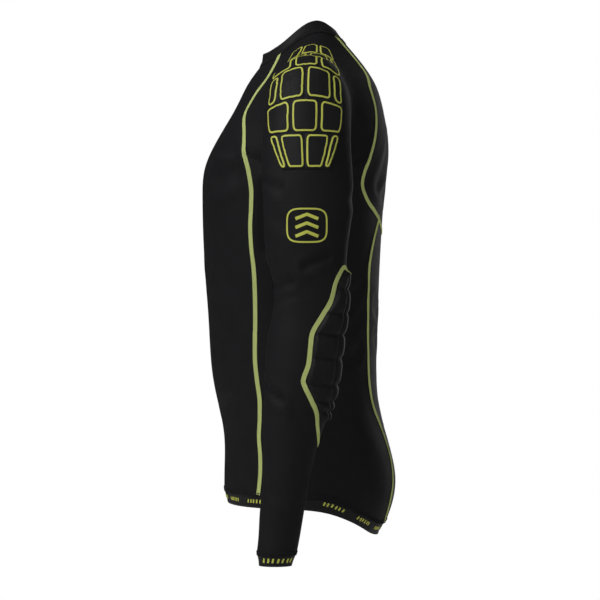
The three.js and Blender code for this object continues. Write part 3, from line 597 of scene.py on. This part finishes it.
# %% Make the elastic bands
def band(node, closing):
    """A closed ring of elastic, made as a panel is."""
    return sewn_piece(node, closing, "elastic", elastic, elastic)


NECK_BACK = [Vector((0, 56, 12)) * MM, Vector((0, 56, -5)) * MM]
HEM_BACK = [Vector((0, 116, -646)) * MM, Vector((0, 104, -664)) * MM]
CUFF_INNER = [Vector((214, -30, -672)) * MM, Vector((219, -33, -688)) * MM]
neckband = band("neckband", NECK_BACK)
hem_band = band("hem_band", HEM_BACK)
cuff_left = band("cuff_left", CUFF_INNER)
cuff_right = band("cuff_right", other_side(CUFF_INNER))
cloth = outer_tree(*PANELS_AND_SLEEVES, neckband, hem_band, cuff_left, cuff_right)

# %% [markdown]
# ## The foam pads
# Foam blocks lie in channels between the sleeve and a cover of the same knit. The cover dips to the
# sleeve between the blocks and crowns over each one. A loose cushion would be swollen by cloth
# simulation. This foam is moulded and bonded, so a subdivision surface over the solid's square cells
# gives its shape. The forearm pad's cover runs out to nothing at its seam, whose line on the arm is
# given first, from its top to its tip, as it shows from the side.

# %% Give the line of the forearm cover's seam
COVER_SEAM = [
    {"y": 54.5, "z": -310.0},
    {"y": 50.5, "z": -312.0},
    {"y": 42.5, "z": -328.5},
    {"y": 36.5, "z": -351.0},
    {"y": 25.5, "z": -370.5},
    {"y": 13.5, "z": -391.0},
    {"y": 10.5, "z": -409.0},
    {"y": 8.0, "z": -431.5},
    {"y": 2.0, "z": -449.5},
    {"y": 2.5, "z": -458.0},
    {"y": 12.0, "z": -478.5},
    {"y": 18.0, "z": -493.5},
    {"y": 19.5, "z": -514.0},
]
SEAM_TOP = -315.0
SEAM_TIP = -535.0
SEAM_LAND = 3.2
BLOCK_SLOPE = 3.5
LAST_BLOCK = -507


def inside_the_seam(point):
    """The share of its height that the cover has: none at its seam, all of it some way inside."""
    y, z = point.y / MM, point.z / MM
    top = COVER_SEAM[0]["z"]
    edge = COVER_SEAM[-1]["y"]
    for a, b in zip(COVER_SEAM, COVER_SEAM[1:]):
        if min(a["z"], b["z"]) <= z <= max(a["z"], b["z"]):
            edge = a["y"] + (b["y"] - a["y"]) * (z - a["z"]) / (b["z"] - a["z"])
            break
    inside = min(y - edge - SEAM_LAND, top - z - SEAM_LAND, z - LAST_BLOCK)
    return min(max(inside / BLOCK_SLOPE, 0), 1)


print("cover seam:", len(COVER_SEAM), "points,", SEAM_TOP - SEAM_TIP, "mm high")

# %% [markdown]
# The cover of a solid pad is some 2 mm thick even between its blocks, where real cloth is pressed onto
# the sleeve. So each pad is let down: a point keeps its place on the sleeve, and its height over it is
# read from a short table of heights. Only the blocks then stand up. The forearm blocks are thick and
# the shoulder cells are thin.

# %% Make the pads and let them down onto the sleeves
PAD_LEVELS = 3
FILM = 0.1
PAD_FLATTEST = math.radians(80)


def everywhere(point):
    """A cover that keeps its full height up to its edge."""
    return 1


def foam_pad(node, sleeve, heights, share=everywhere):
    """A pad from its solid. heights has pairs: height over the solid sleeve, height of the cover."""
    piece = copy_of(node, f"{node}_foam")
    only(piece)
    bpy.ops.object.mode_set(mode="EDIT")
    bpy.ops.mesh.select_all(action="SELECT")
    bpy.ops.uv.smart_project(angle_limit=PAD_FLATTEST, island_margin=ISLAND_MARGIN)
    bpy.ops.object.mode_set(mode="OBJECT")
    true_to_size(piece)
    apply(piece, "SUBSURF", levels=PAD_LEVELS, render_levels=PAD_LEVELS)
    tree = outer_tree(sleeve)
    solid_tree = solid_sleeve(node)
    for vertex in piece.data.vertices:
        height = (vertex.co - solid_tree.find_nearest(vertex.co)[0]).length / MM
        on_sleeve, lean, _, _ = tree.find_nearest(vertex.co)
        settled = max(settled_height(height, heights) * share(on_sleeve), FILM)
        vertex.co = on_sleeve + lean * (settled * MM)
    piece.data.materials.append(pad_knit)
    finish_piece(piece)
    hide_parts(node)
    print(f"{piece.name}: {len(piece.data.polygons)} faces")
    return piece


def solid_sleeve(pad_node):
    """A search tree of the solid sleeve that a pad's node lies on."""
    sleeve = bpy.data.objects["sleeve_left" if pad_node.endswith("_left") else "sleeve_right"].data
    return BVHTree.FromPolygons(
        [v.co for v in sleeve.vertices], [tuple(face.vertices) for face in sleeve.polygons])


def settled_height(height, heights):
    """The cover's height where the solid has this height, read between the rows of the table."""
    for (low, low_to), (high, high_to) in zip(heights, heights[1:]):
        if height <= high:
            t = (height - low) / (high - low)
            return low_to + (high_to - low_to) * t
    return heights[-1][1]


# Millimetres over the solid sleeve, and over the cloth sleeve
SHOULDER_HEIGHTS = [(2.1, 0.25), (3.3, 0.5), (5.9, 2.6)]
FOREARM_HEIGHTS = [(2.1, 0.25), (3.3, 0.8), (7.9, 6.2)]
shoulder_left = foam_pad("shoulder_pad_left", sleeve_left, SHOULDER_HEIGHTS)
shoulder_right = foam_pad("shoulder_pad_right", sleeve_right, SHOULDER_HEIGHTS)
forearm_left = foam_pad("forearm_pad_left", sleeve_left, FOREARM_HEIGHTS, inside_the_seam)
forearm_right = foam_pad("forearm_pad_right", sleeve_right, FOREARM_HEIGHTS, inside_the_seam)

# %% [markdown]
# ## Flatlock stitches
# A flatlock seam joins two edges that lie side by side. Thread runs over them from edge to edge and
# leaves a flat ladder about 5 mm wide. A bump pattern could show it, but the thread stands up enough to
# catch light at its edges. One stitch is modelled: a thin plate of cover thread with two strands across
# it and one along each edge. The pitch is 2.4 mm, coarser than the real 1.6 mm, so that it shows.

# %% Model one stitch
SEAM_WIDTH = 5.2 * MM
PITCH = 2.4 * MM
STRAND = 0.42 * MM
STRAND_SIDES = 6
STRAND_LEAN = math.radians(24)
PLATE_WIDTH = 0.94 * SEAM_WIDTH
PLATE_HEIGHT = 0.6 * MM
PLATE_MIDDLE = 0.1 * MM
QUARTER_TURN = math.radians(90)
STRANDS = [
    {"at": (-PITCH / 4, 0), "turn": STRAND_LEAN, "length": SEAM_WIDTH},
    {"at": (PITCH / 4, 0), "turn": -STRAND_LEAN, "length": SEAM_WIDTH},
    {"at": (0, SEAM_WIDTH / 2), "turn": QUARTER_TURN, "length": PITCH},
    {"at": (0, -SEAM_WIDTH / 2), "turn": QUARTER_TURN, "length": PITCH},
]


def one_stitch():
    """One stitch, its seam along X, its width along Y, with the cloth at Z = 0."""
    bpy.ops.object.select_all(action="DESELECT")
    bpy.ops.mesh.primitive_cube_add(size=1, location=(0, 0, PLATE_MIDDLE))
    plate = bpy.context.object
    plate.scale = (PITCH, PLATE_WIDTH, PLATE_HEIGHT)
    bpy.ops.object.transform_apply(location=True, rotation=True, scale=True)
    strands = [plate]
    for strand in STRANDS:
        bpy.ops.mesh.primitive_cylinder_add(
            vertices=STRAND_SIDES, radius=STRAND, depth=strand["length"],
            location=(*strand["at"], STRAND), rotation=(QUARTER_TURN, 0, strand["turn"]))
        strands.append(bpy.context.object)
    for strand in strands:
        strand.select_set(True)
    bpy.context.view_layer.objects.active = plate
    bpy.ops.object.join()
    bpy.ops.object.transform_apply(location=True, rotation=True, scale=True)
    mesh = plate.data.copy()
    bpy.data.objects.remove(plate)
    return mesh


stitch = one_stitch()
print("one stitch:", len(stitch.polygons), "faces")

# %% [markdown]
# A seam's line could be drawn by hand over the shirt. The solids know it already: it is where the points
# of two neighbouring pieces meet. The points are laid on the outer skin, put in order along the seam,
# and a smooth line through them is walked in equal steps.

# %% Find a seam between two pieces and walk it
MEETING = 0.8 * MM
SAME_PLACE = 3 * MM
FINE_STEPS = 12


def meeting_points(first, others):
    """Points on the outer skin where the first node meets the others."""
    beside = [v.co for name in others for v in bpy.data.objects[name].data.vertices]
    # The tree holds points alone, each as a triangle of no size
    tree = BVHTree.FromPolygons(beside, [(i, i, i) for i in range(len(beside))])
    found = []
    for vertex in bpy.data.objects[first].data.vertices:
        near, _, _, distance = tree.find_nearest(vertex.co)
        if distance < MEETING:
            point = cloth.find_nearest((vertex.co + near) / 2)[0]
            if all((point - other).length > SAME_PLACE for other in found):
                found.append(point)
    return found


def walk(points, tree, step, closed=False):
    """The middles of equal steps along a smooth line through the points, and the line's length."""
    if closed:
        points = points + points[:1]
    fine = []
    for i in range(len(points) - 1):
        before = points[i - 1] if i else (points[-2] if closed else points[0])
        after = points[i + 2] if i + 2 < len(points) else (points[1] if closed else points[-1])
        for k in range(FINE_STEPS):
            fine.append(through(before, points[i], points[i + 1], after, k / FINE_STEPS))
    fine.append(points[-1])
    fine = [tree.find_nearest(point)[0] for point in fine]
    gone = [0.0]
    for a, b in zip(fine, fine[1:]):
        gone.append(gone[-1] + (b - a).length)
    count = max(2, round(gone[-1] / step))
    places = []
    i = 0
    for k in range(count):
        want = gone[-1] * (k + 0.5) / count
        while gone[i + 1] < want:
            i += 1
        share = (want - gone[i]) / (gone[i + 1] - gone[i])
        places.append(fine[i].lerp(fine[i + 1], share))
    return places, gone[-1]


def through(p0, p1, p2, p3, t):
    """A point of the Catmull-Rom curve from p1 to p2."""
    return 0.5 * (2 * p1 + (p2 - p0) * t + (2 * p0 - 5 * p1 + 4 * p2 - p3) * t * t
                  + (3 * p1 - p0 - 3 * p2 + p3) * t * t * t)


# %% [markdown]
# Each copy of the stitch is turned to the seam's run and to the cloth's lean. An array along a curve
# would keep every stitch stiff. Here each corner of a copy is dropped onto the cloth below it, so the
# thread follows the edges that it joins.

# %% Copy the stitch along a seam
LEAN_SPREAD = 4
OVER = 4 * MM
THREAD_ANGLE = math.radians(50)


def on_top(tree, point, lean, over):
    """The outermost cloth above or below a point, looking down along the lean."""
    return tree.ray_cast(point + lean * over, -lean, 2 * over)[0] or tree.find_nearest(point)[0]


def leans(places, tree, closed):
    """The cloth's lean at each place, evened out over the places beside it."""
    raw = [tree.find_nearest(place)[1] for place in places]
    count = len(raw)
    smooth = []
    for k in range(count):
        reach = range(k - LEAN_SPREAD, k + LEAN_SPREAD + 1)
        near = [i % count if closed else min(max(i, 0), count - 1) for i in reach]
        smooth.append(sum((raw[i] for i in near), Vector()).normalized())
    return smooth


def heading(places, k, closed):
    """The way the line runs at its k-th place."""
    count = len(places)
    if closed:
        return places[(k + 1) % count] - places[k - 1]
    return places[min(k + 1, count - 1)] - places[max(k - 1, 0)]


def new_piece(name, corners, faces, material, angle):
    """A piece from corners and faces, smooth but for its edges sharper than angle."""
    mesh = bpy.data.meshes.new(name)
    mesh.from_pydata(corners, [], faces)
    mesh.materials.append(material)
    piece = bpy.data.objects.new(name, mesh)
    bpy.context.scene.collection.objects.link(piece)
    finish_piece(piece, angle)


LIME = {"yarn": lime_thread, "slot": "lime_thread"}
BLACK = {"yarn": black_thread, "slot": "knit"}


def sew(name, points, tree, yarn, slot, closed=False, bare_ends=0, top=None, over=OVER):
    """Copy the stitch along a line on the cloth in tree. Each corner lies on top of all that is in top."""
    places, length = walk(points, tree, PITCH, closed)
    corners, faces = [], []
    for k, (place, lean) in enumerate(zip(places, leans(places, tree, closed))):
        if not bare_ends <= k < len(places) - bare_ends:
            continue
        across = lean.cross(heading(places, k, closed)).normalized()
        run = across.cross(lean)
        first = len(corners)
        for v in stitch.vertices:
            spot = place + run * v.co.x + across * v.co.y
            corners.append(on_top(top or tree, spot, lean, over) + lean * v.co.z)
        faces += [[first + v for v in face.vertices] for face in stitch.polygons]
    new_piece(name, corners, faces, yarn, THREAD_ANGLE)
    print(f"{name}: {round(length / MM)} mm, {len(places)} stitches")


# %% [markdown]
# The panels are joined first, as a sewer would: a lime seam down each side of the front and of the
# back, a lime yoke seam across the back, and a black seam under each arm, where it isn't meant to show.
# The underarm seams stop short of the lime ones that they run into.

# %% Sew the panels and sleeves together
UNDERARM_BARE_ENDS = 4


def high_first(points):
    """The points from the highest to the lowest."""
    return sorted(points, key=lambda p: -p.z)


def on_side(points, side):
    """The points on the left or on the right of the shirt."""
    return [p for p in points if (p.x > 0) == (side == "left")]


for side in ("left", "right"):
    sleeve, panel = f"sleeve_{side}", f"side_panel_{side}"
    front_line = on_side(meeting_points("front_panel", [sleeve, panel]), side)
    sew(f"flatlock_front_{side}", high_first(front_line), cloth, **LIME)
    upper_line = on_side(meeting_points("upper_back_panel", [sleeve, panel]), side)
    lower_line = meeting_points(panel, ["lower_back_panel"])
    sew(f"flatlock_back_{side}", high_first(upper_line + lower_line), cloth, **LIME)
    underarm_line = sorted(meeting_points(sleeve, [panel]), key=lambda p: p.y)
    sew(f"flatlock_underarm_{side}", underarm_line, cloth, bare_ends=UNDERARM_BARE_ENDS, **BLACK)
yoke_line = sorted(meeting_points("upper_back_panel", ["lower_back_panel"]), key=lambda p: p.x)
sew("flatlock_yoke", yoke_line, cloth, **LIME)

# %% [markdown]
# The bands are sewn on with black coverstitch, which lies over the join all round. It is the same
# stitch in black, copied round a closed line.

# %% Sew on the neckband, the hem band and the cuffs
def round_about(points):
    """Put points of a ring in order by their turn about its middle."""
    middle = sum(points, Vector()) / len(points)
    return sorted(points, key=lambda p: math.atan2(p.y - middle.y, p.x - middle.x))


PANELS = ["front_panel", "upper_back_panel", "lower_back_panel", "side_panel_left", "side_panel_right"]
SLEEVES = ["sleeve_left", "sleeve_right"]
BAND_JOINS = {
    "neckband": ["front_panel", "upper_back_panel"] + SLEEVES,
    "hem_band": PANELS,
    "cuff_left": ["sleeve_left"],
    "cuff_right": ["sleeve_right"],
}
for node, beside in BAND_JOINS.items():
    join = round_about(meeting_points(node, beside))
    sew(f"coverstitch_{node}", join, cloth, closed=True, **BLACK)

# %% [markdown]
# The forearm pad's cover is sewn down all round. Its table has the seam's points as they show from the
# outer side of the arm. The same line is laid on the inner side to close the leaf, starting from a line
# through the middle of the arm and looking outwards.

# %% Sew the covers of the forearm pads
ARM_MIDDLE = [{"z": -300, "x": 230}, {"z": -400, "x": 234}, {"z": -540, "x": 239.5}]
OVER_PAD = 8 * MM


def arm_middle(z):
    """How far out the middle of the arm is at a height, in millimetres."""
    low = 0 if z > ARM_MIDDLE[1]["z"] else 1
    a, b = ARM_MIDDLE[low], ARM_MIDDLE[low + 1]
    return a["x"] + (b["x"] - a["x"]) * (z - a["z"]) / (b["z"] - a["z"])


def behind(tree, hand, z):
    """The point of the arm that is seen from behind, at the middle of the arm."""
    start, direction = LOOKING["back"]
    return tree.ray_cast(start + Vector((hand * arm_middle(z), 0, z)) * MM, direction)[0]


def cover_line(tree, hand):
    """The closed line round the pad: down the outer side from its top to its tip, and up the inner."""
    lines = {}
    for side, way in (("outer", hand), ("inner", -hand)):
        lines[side] = []
        for row in COVER_SEAM:
            start = Vector((hand * arm_middle(row["z"]), row["y"], row["z"])) * MM
            point = tree.ray_cast(start, Vector((way, 0, 0)))[0]
            lines[side].append(point or tree.find_nearest(start)[0])
    top, tip = behind(tree, hand, SEAM_TOP), behind(tree, hand, SEAM_TIP)
    return [top] + lines["outer"] + [tip] + lines["inner"][::-1]


LEFT_ARM = ("left", 1, sleeve_left, forearm_left)
RIGHT_ARM = ("right", -1, sleeve_right, forearm_right)
for side, hand, sleeve, pad in (LEFT_ARM, RIGHT_ARM):
    arm = outer_tree(sleeve)
    both = outer_tree(sleeve, pad)
    name = f"flatlock_forearm_pad_{side}"
    sew(name, cover_line(arm, hand), arm, closed=True, top=both, over=OVER_PAD, **LIME)

# %% [markdown]
# ## Outlined cells
# Each raised cell of the shoulder pad is edged with a raised lime line, printed on the cover. It could
# be painted as an image. Made from the cells themselves, it fits them. The cells are read from the
# solid: a cell's top lies level with the sleeve and has steep walls all round it. The line runs along
# the top's edge, with its corners rounded by cutting them off twice.

# %% Find the raised cells and their rounded outlines
CELL_SLOPE = math.radians(24)
SMALLEST_CELL = 100 * MM * MM
LINE_WIDTH = 2.4 * MM
LINE_RISE = 0.5 * MM
LINE_OUTSET = 0.4 * MM
LINE_STEP = 1.5 * MM


def cells_of(node):
    """The outline of each raised cell of a pad, as a ring of points."""
    tree = solid_sleeve(node)
    pad = copy_of(node, "cells_for_a_moment")
    shell = bmesh.new()
    shell.from_mesh(pad.data)
    bpy.data.objects.remove(pad)

    def lies_level(face):
        lean = tree.find_nearest(face.calc_center_median())[1]
        return face.normal.angle(lean) < CELL_SLOPE

    # Faces are taken in their own order, so that each run finds the same rings
    level = [face for face in shell.faces if lies_level(face)]
    waiting = set(level)
    rings = []
    for first in level:
        if first not in waiting:
            continue
        waiting.discard(first)
        island = [first]
        for face in island:
            for beside in (f for edge in face.edges for f in edge.link_faces):
                if beside in waiting:
                    waiting.discard(beside)
                    island.append(beside)
        if sum(face.calc_area() for face in island) < SMALLEST_CELL:
            continue
        inside = set(island)
        border = [e for face in island for e in face.edges if sum(f in inside for f in e.link_faces) == 1]
        rings.append(ring_through(border))
    shell.free()
    return rings


def ring_through(edges):
    """Put the edges of a closed border in order, as points."""
    first = edges[0]
    ring = [first.verts[0], first.verts[1]]
    left = edges[1:]
    while left:
        onward = next((e for e in left if ring[-1] in e.verts), None)
        if onward is None:
            break
        left.remove(onward)
        ring.append(onward.other_vert(ring[-1]))
    return [v.co.copy() for v in ring[:-1]]


def rounded(ring, cuts=2):
    """The ring with its corners cut off, a quarter of each side at a time."""
    for _ in range(cuts):
        ring = [p for a, b in zip(ring, ring[1:] + ring[:1]) for p in (a.lerp(b, 0.25), a.lerp(b, 0.75))]
    return ring


# %% [markdown]
# A printed line is a low bead: flat underneath, slightly crowned on top. A bevelled curve would float
# over the hollows of the cover, so its section of five points is walked along the outline in equal
# steps, and each point is laid on the cover.

# %% Lay printed lines on the cloth
# Across in widths of the line, up in heights of it
BEAD = [(-0.5, -0.3), (-0.46, 0.7), (0.0, 1.0), (0.46, 0.7), (0.5, -0.3)]
BEAD_ANGLE = math.radians(60)


def bead(places, tree, width, rise, closed):
    """Corners and faces of one printed line."""
    corners, faces = [], []
    count = len(places)
    across_count = len(BEAD)
    for k, (place, lean) in enumerate(zip(places, leans(places, tree, closed))):
        across = lean.cross(heading(places, k, closed)).normalized()
        for over, up in BEAD:
            base = tree.find_nearest(place + across * (over * width))[0]
            corners.append(base + lean * (up * rise))
    for k in range(count if closed else count - 1):
        here, there = k * across_count, ((k + 1) % count) * across_count
        for i in range(across_count):
            j = (i + 1) % across_count
            faces.append([here + i, here + j, there + j, there + i])
    if not closed:
        last = (count - 1) * across_count
        faces.append(list(reversed(range(across_count))))
        faces.append([last + i for i in range(across_count)])
    return corners, faces


def printed(name, lines, tree, width, rise, closed=True):
    """One piece from many printed lines."""
    corners, faces = [], []
    for line in lines:
        places, _ = walk(line, tree, LINE_STEP, closed)
        more, rings = bead(places, tree, width, rise, closed)
        faces += [[len(corners) + i for i in ring] for ring in rings]
        corners += more
    new_piece(name, corners, faces, print_film, BEAD_ANGLE)
    bpy.ops.object.mode_set(mode="EDIT")
    bpy.ops.mesh.select_all(action="SELECT")
    bpy.ops.mesh.normals_make_consistent(inside=False)
    bpy.ops.object.mode_set(mode="OBJECT")
    print(f"{name}: {len(lines)} lines, {len(faces)} faces")


def let_out(ring, by):
    """Move a ring of points away from its middle by a distance."""
    middle = sum(ring, Vector()) / len(ring)
    return [p + (p - middle).normalized() * by for p in ring]


# %% [markdown]
# The outlines of all the cells of one shoulder are one print, so they are one piece. Each is moved a
# little outwards, so that it covers the edge of its cell.

# %% Print the outlines of the cells
for side, pad in (("left", shoulder_left), ("right", shoulder_right)):
    cover = outer_tree(pad)
    rings = [rounded(let_out(ring, LINE_OUTSET)) for ring in cells_of(f"shoulder_pad_{side}")]
    printed(f"cell_outlines_{side}", rings, cover, LINE_WIDTH, LINE_RISE)

# %% [markdown]
# ## Plain marks
# The upper sleeve carries a small badge and the bands carry short marks. Here they are plain shapes
# that say nothing: a rounded frame round three chevrons, and groups of slanted bars. They could be cut
# from a flat sheet and wrapped round the arm. It is simpler to look at the sleeve from outside and lay
# each point of a line where it is seen.

# %% Print the badge on each upper sleeve
BADGE = {"y": 6.0, "z": -257.0, "wide": 50.0, "high": 42.0}
FRAME_POINTS = 48
FRAME_WIDTH = 2.2 * MM
# 1 would give a diamond, 2 an ellipse, and a large number a rectangle
FRAME_SQUARENESS = 4
CHEVRONS = [11.0, 0.0, -11.0]
CHEVRON_REACH = 15.0
CHEVRON_DROP = 6.0
CHEVRON_WIDTH = 4.2 * MM
# Shares of the reach. Two points close to the middle keep the bend sharp
CHEVRON_POINTS = (-1, -0.5, -0.02, 0.02, 0.5, 1)


def laid(tree, hand, across, up):
    """The point of the sleeve that shows at a place of the badge, seen from the arm's outer side."""
    start = Vector((hand * FAR, (BADGE["y"] + across) * MM, (BADGE["z"] + up) * MM))
    return tree.ray_cast(start, Vector((-hand, 0, 0)))[0]


def superellipse(share):
    """How far along its half axis a rounded frame is, for a sine or a cosine."""
    return math.copysign(abs(share) ** (2 / FRAME_SQUARENESS), share)


def frame_line(tree, hand):
    """The rounded frame of a badge."""
    turns = [FULL_TURN * k / FRAME_POINTS for k in range(FRAME_POINTS)]
    return [
        laid(tree, hand, BADGE["wide"] / 2 * superellipse(math.cos(turn)),
             BADGE["high"] / 2 * superellipse(math.sin(turn)))
        for turn in turns]


def chevron_line(tree, hand, middle):
    """One chevron, its point up, about the height of its middle."""
    return [
        laid(tree, hand, share * CHEVRON_REACH, middle + CHEVRON_DROP / 2 - CHEVRON_DROP * abs(share))
        for share in CHEVRON_POINTS]


for side, hand, sleeve in (("left", 1, sleeve_left), ("right", -1, sleeve_right)):
    arm = outer_tree(sleeve)
    chevrons = [chevron_line(arm, hand, middle) for middle in CHEVRONS]
    printed(f"badge_frame_{side}", [frame_line(arm, hand)], arm, FRAME_WIDTH, LINE_RISE)
    printed(f"badge_chevrons_{side}", chevrons, arm, CHEVRON_WIDTH, LINE_RISE, closed=False)

# %% [markdown]
# The bars stand across the band in groups, evenly spaced round it. A band's outer skin has a row of
# points half way up, and each bar is set across that row, leaning a little.

# %% Print the bars on the bands
def middle_row(node):
    """The points half way up a band's outer skin."""
    band_copy = copy_of(node, "band_for_a_moment")
    shell = bmesh.new()
    shell.from_mesh(band_copy.data)
    outer = set(skins(band_copy.data)[0][1])
    points = [v.co.copy() for v in shell.verts if all(face.index in outer for face in v.link_faces)]
    shell.free()
    bpy.data.objects.remove(band_copy)
    return round_about(points)


BAR_WIDTH = 2.6 * MM
BAR_STEP = 1 * MM
BAR_SLANT = 2 * MM


def bars(name, node, piece, pitch, bar_pitch, count, height, start):
    """Groups of slanted bars round a band. start is where the first group is, as a share of the pitch."""
    tree = outer_tree(piece)
    places, length = walk(middle_row(node), tree, BAR_STEP, closed=True)
    ups = leans(places, tree, closed=True)
    groups = max(1, round(length / pitch))
    lines = []
    for group in range(groups):
        for k in range(count):
            at = (start + group) * length / groups + (k - (count - 1) / 2) * bar_pitch
            i = round(at / length * len(places)) % len(places)
            run = heading(places, i, closed=True).normalized()
            up = ups[i].cross(run)
            up = up if up.z > 0 else -up
            reach = up * height / 2 + run * BAR_SLANT / 2
            lines.append([places[i] + reach * share for share in (-1, 0, 1)])
    printed(name, lines, tree, BAR_WIDTH, LINE_RISE, closed=False)


HEM_BARS = {"pitch": 55 * MM, "bar_pitch": 5.6 * MM, "count": 6, "height": 6 * MM}
# The pitch is longer than the cuff is round, so a cuff has one group
CUFF_BARS = {"pitch": 300 * MM, "bar_pitch": 6.5 * MM, "count": 7, "height": 7 * MM}
bars("hem_bars", "hem_band", hem_band, start=0.35, **HEM_BARS)
bars("cuff_bars_left", "cuff_left", cuff_left, start=0.475, **CUFF_BARS)
bars("cuff_bars_right", "cuff_right", cuff_right, start=0.025, **CUFF_BARS)

# %% [markdown]
# ## Floor, light and the surroundings
# A plain pale floor lies well below the hem, where the ground would be under a shirt that is worn. Its
# shadows could be lifted with more lamps. Here the paper glows a little for the eye alone, so it stays
# white and throws no light up onto the black cloth.

# %% Lay the floor
FLOOR_Z = -1.05
FLOOR_RADIUS = 2.6
FLOOR_CORNERS = 96
FLOOR_GLOW = 0.62

bpy.ops.object.select_all(action="DESELECT")
bpy.ops.mesh.primitive_circle_add(
    vertices=FLOOR_CORNERS, radius=FLOOR_RADIUS, fill_type="NGON", location=(0, 0, FLOOR_Z))
floor = bpy.context.object
floor.name = "floor"
# White paper, uncoated: matt all over
paper, paper_tree, paper_shader = new_material("matt_white_paper")
paper_shader.inputs["Base Color"].default_value = linear("#f2f2f0")
paper_shader.inputs["Roughness"].default_value = 0.9
paper_eye = add(paper_tree, "ShaderNodeLightPath").outputs["Is Camera Ray"]
paper_glow = add(paper_tree, "ShaderNodeMath", {0: paper_eye, 1: FLOOR_GLOW}, operation="MULTIPLY")
paper_shader.inputs["Emission Color"].default_value = linear("#ffffff")
paper_tree.links.new(paper_glow.outputs[0], paper_shader.inputs["Emission Strength"])
floor.data.materials.append(paper)
print("floor at", FLOOR_Z, "m")

# %% [markdown]
# Black cloth shows its form by what it mirrors dully, so the lamps are wide and soft. The key lamp
# stands high in front of the chest. A weak one fills the side, one from above lights the shoulders, and
# two behind bring out the seams of the back and a thin bright edge along it.

# %% Hang the lamps
LAMPS = [
    {"name": "key", "place": (1.8, -2.3, 1.9), "size": 1.8, "power": 80},
    {"name": "side_fill", "place": (3.2, 0.9, 0.6), "size": 2.0, "power": 6},
    {"name": "top", "place": (0.3, -0.3, 2.2), "size": 1.6, "power": 6},
    {"name": "back_fill", "place": (1.6, 2.9, 0.6), "size": 2.0, "power": 13},
    {"name": "right_fill", "place": (-2.9, 1.1, 0.0), "size": 2.0, "power": 12},
]


def soft_lamp(name, place, size, power):
    """A square lamp that looks at the middle of the shirt."""
    bpy.ops.object.select_all(action="DESELECT")
    bpy.ops.object.light_add(type="AREA", location=place)
    lamp = bpy.context.object
    lamp.name = name
    lamp.data.size = size
    lamp.data.energy = power
    towards = PICTURE_CENTRE - Vector(place)
    lamp.rotation_euler = towards.to_track_quat("-Z", "Y").to_euler()


for lamp in LAMPS:
    soft_lamp(**lamp)
print("lamps:", [lamp["name"] for lamp in LAMPS])

# %% [markdown]
# A white room would light the shirt from all round and turn its black to grey. So the surroundings are
# white to the eye but give little light, and the black cloth keeps its shadows.

# %% Surround the shirt with white
ROOM_LIGHT = 0.045

world = bpy.data.worlds.new("studio")
world.use_nodes = True
bpy.context.scene.world = world
world.node_tree.nodes.clear()
eye = add(world.node_tree, "ShaderNodeLightPath").outputs["Is Camera Ray"]
brightness = add(
    world.node_tree, "ShaderNodeMix", {"Factor": eye, "A": ROOM_LIGHT, "B": 1.0}, data_type="FLOAT")
studio = add(
    world.node_tree, "ShaderNodeBackground",
    {"Color": linear("#ffffff"), "Strength": brightness.outputs["Result"]})
add(world.node_tree, "ShaderNodeOutputWorld", {"Surface": studio.outputs["Background"]})
bpy.context.scene.view_settings.view_transform = "Standard"
print("surroundings:", world.name)
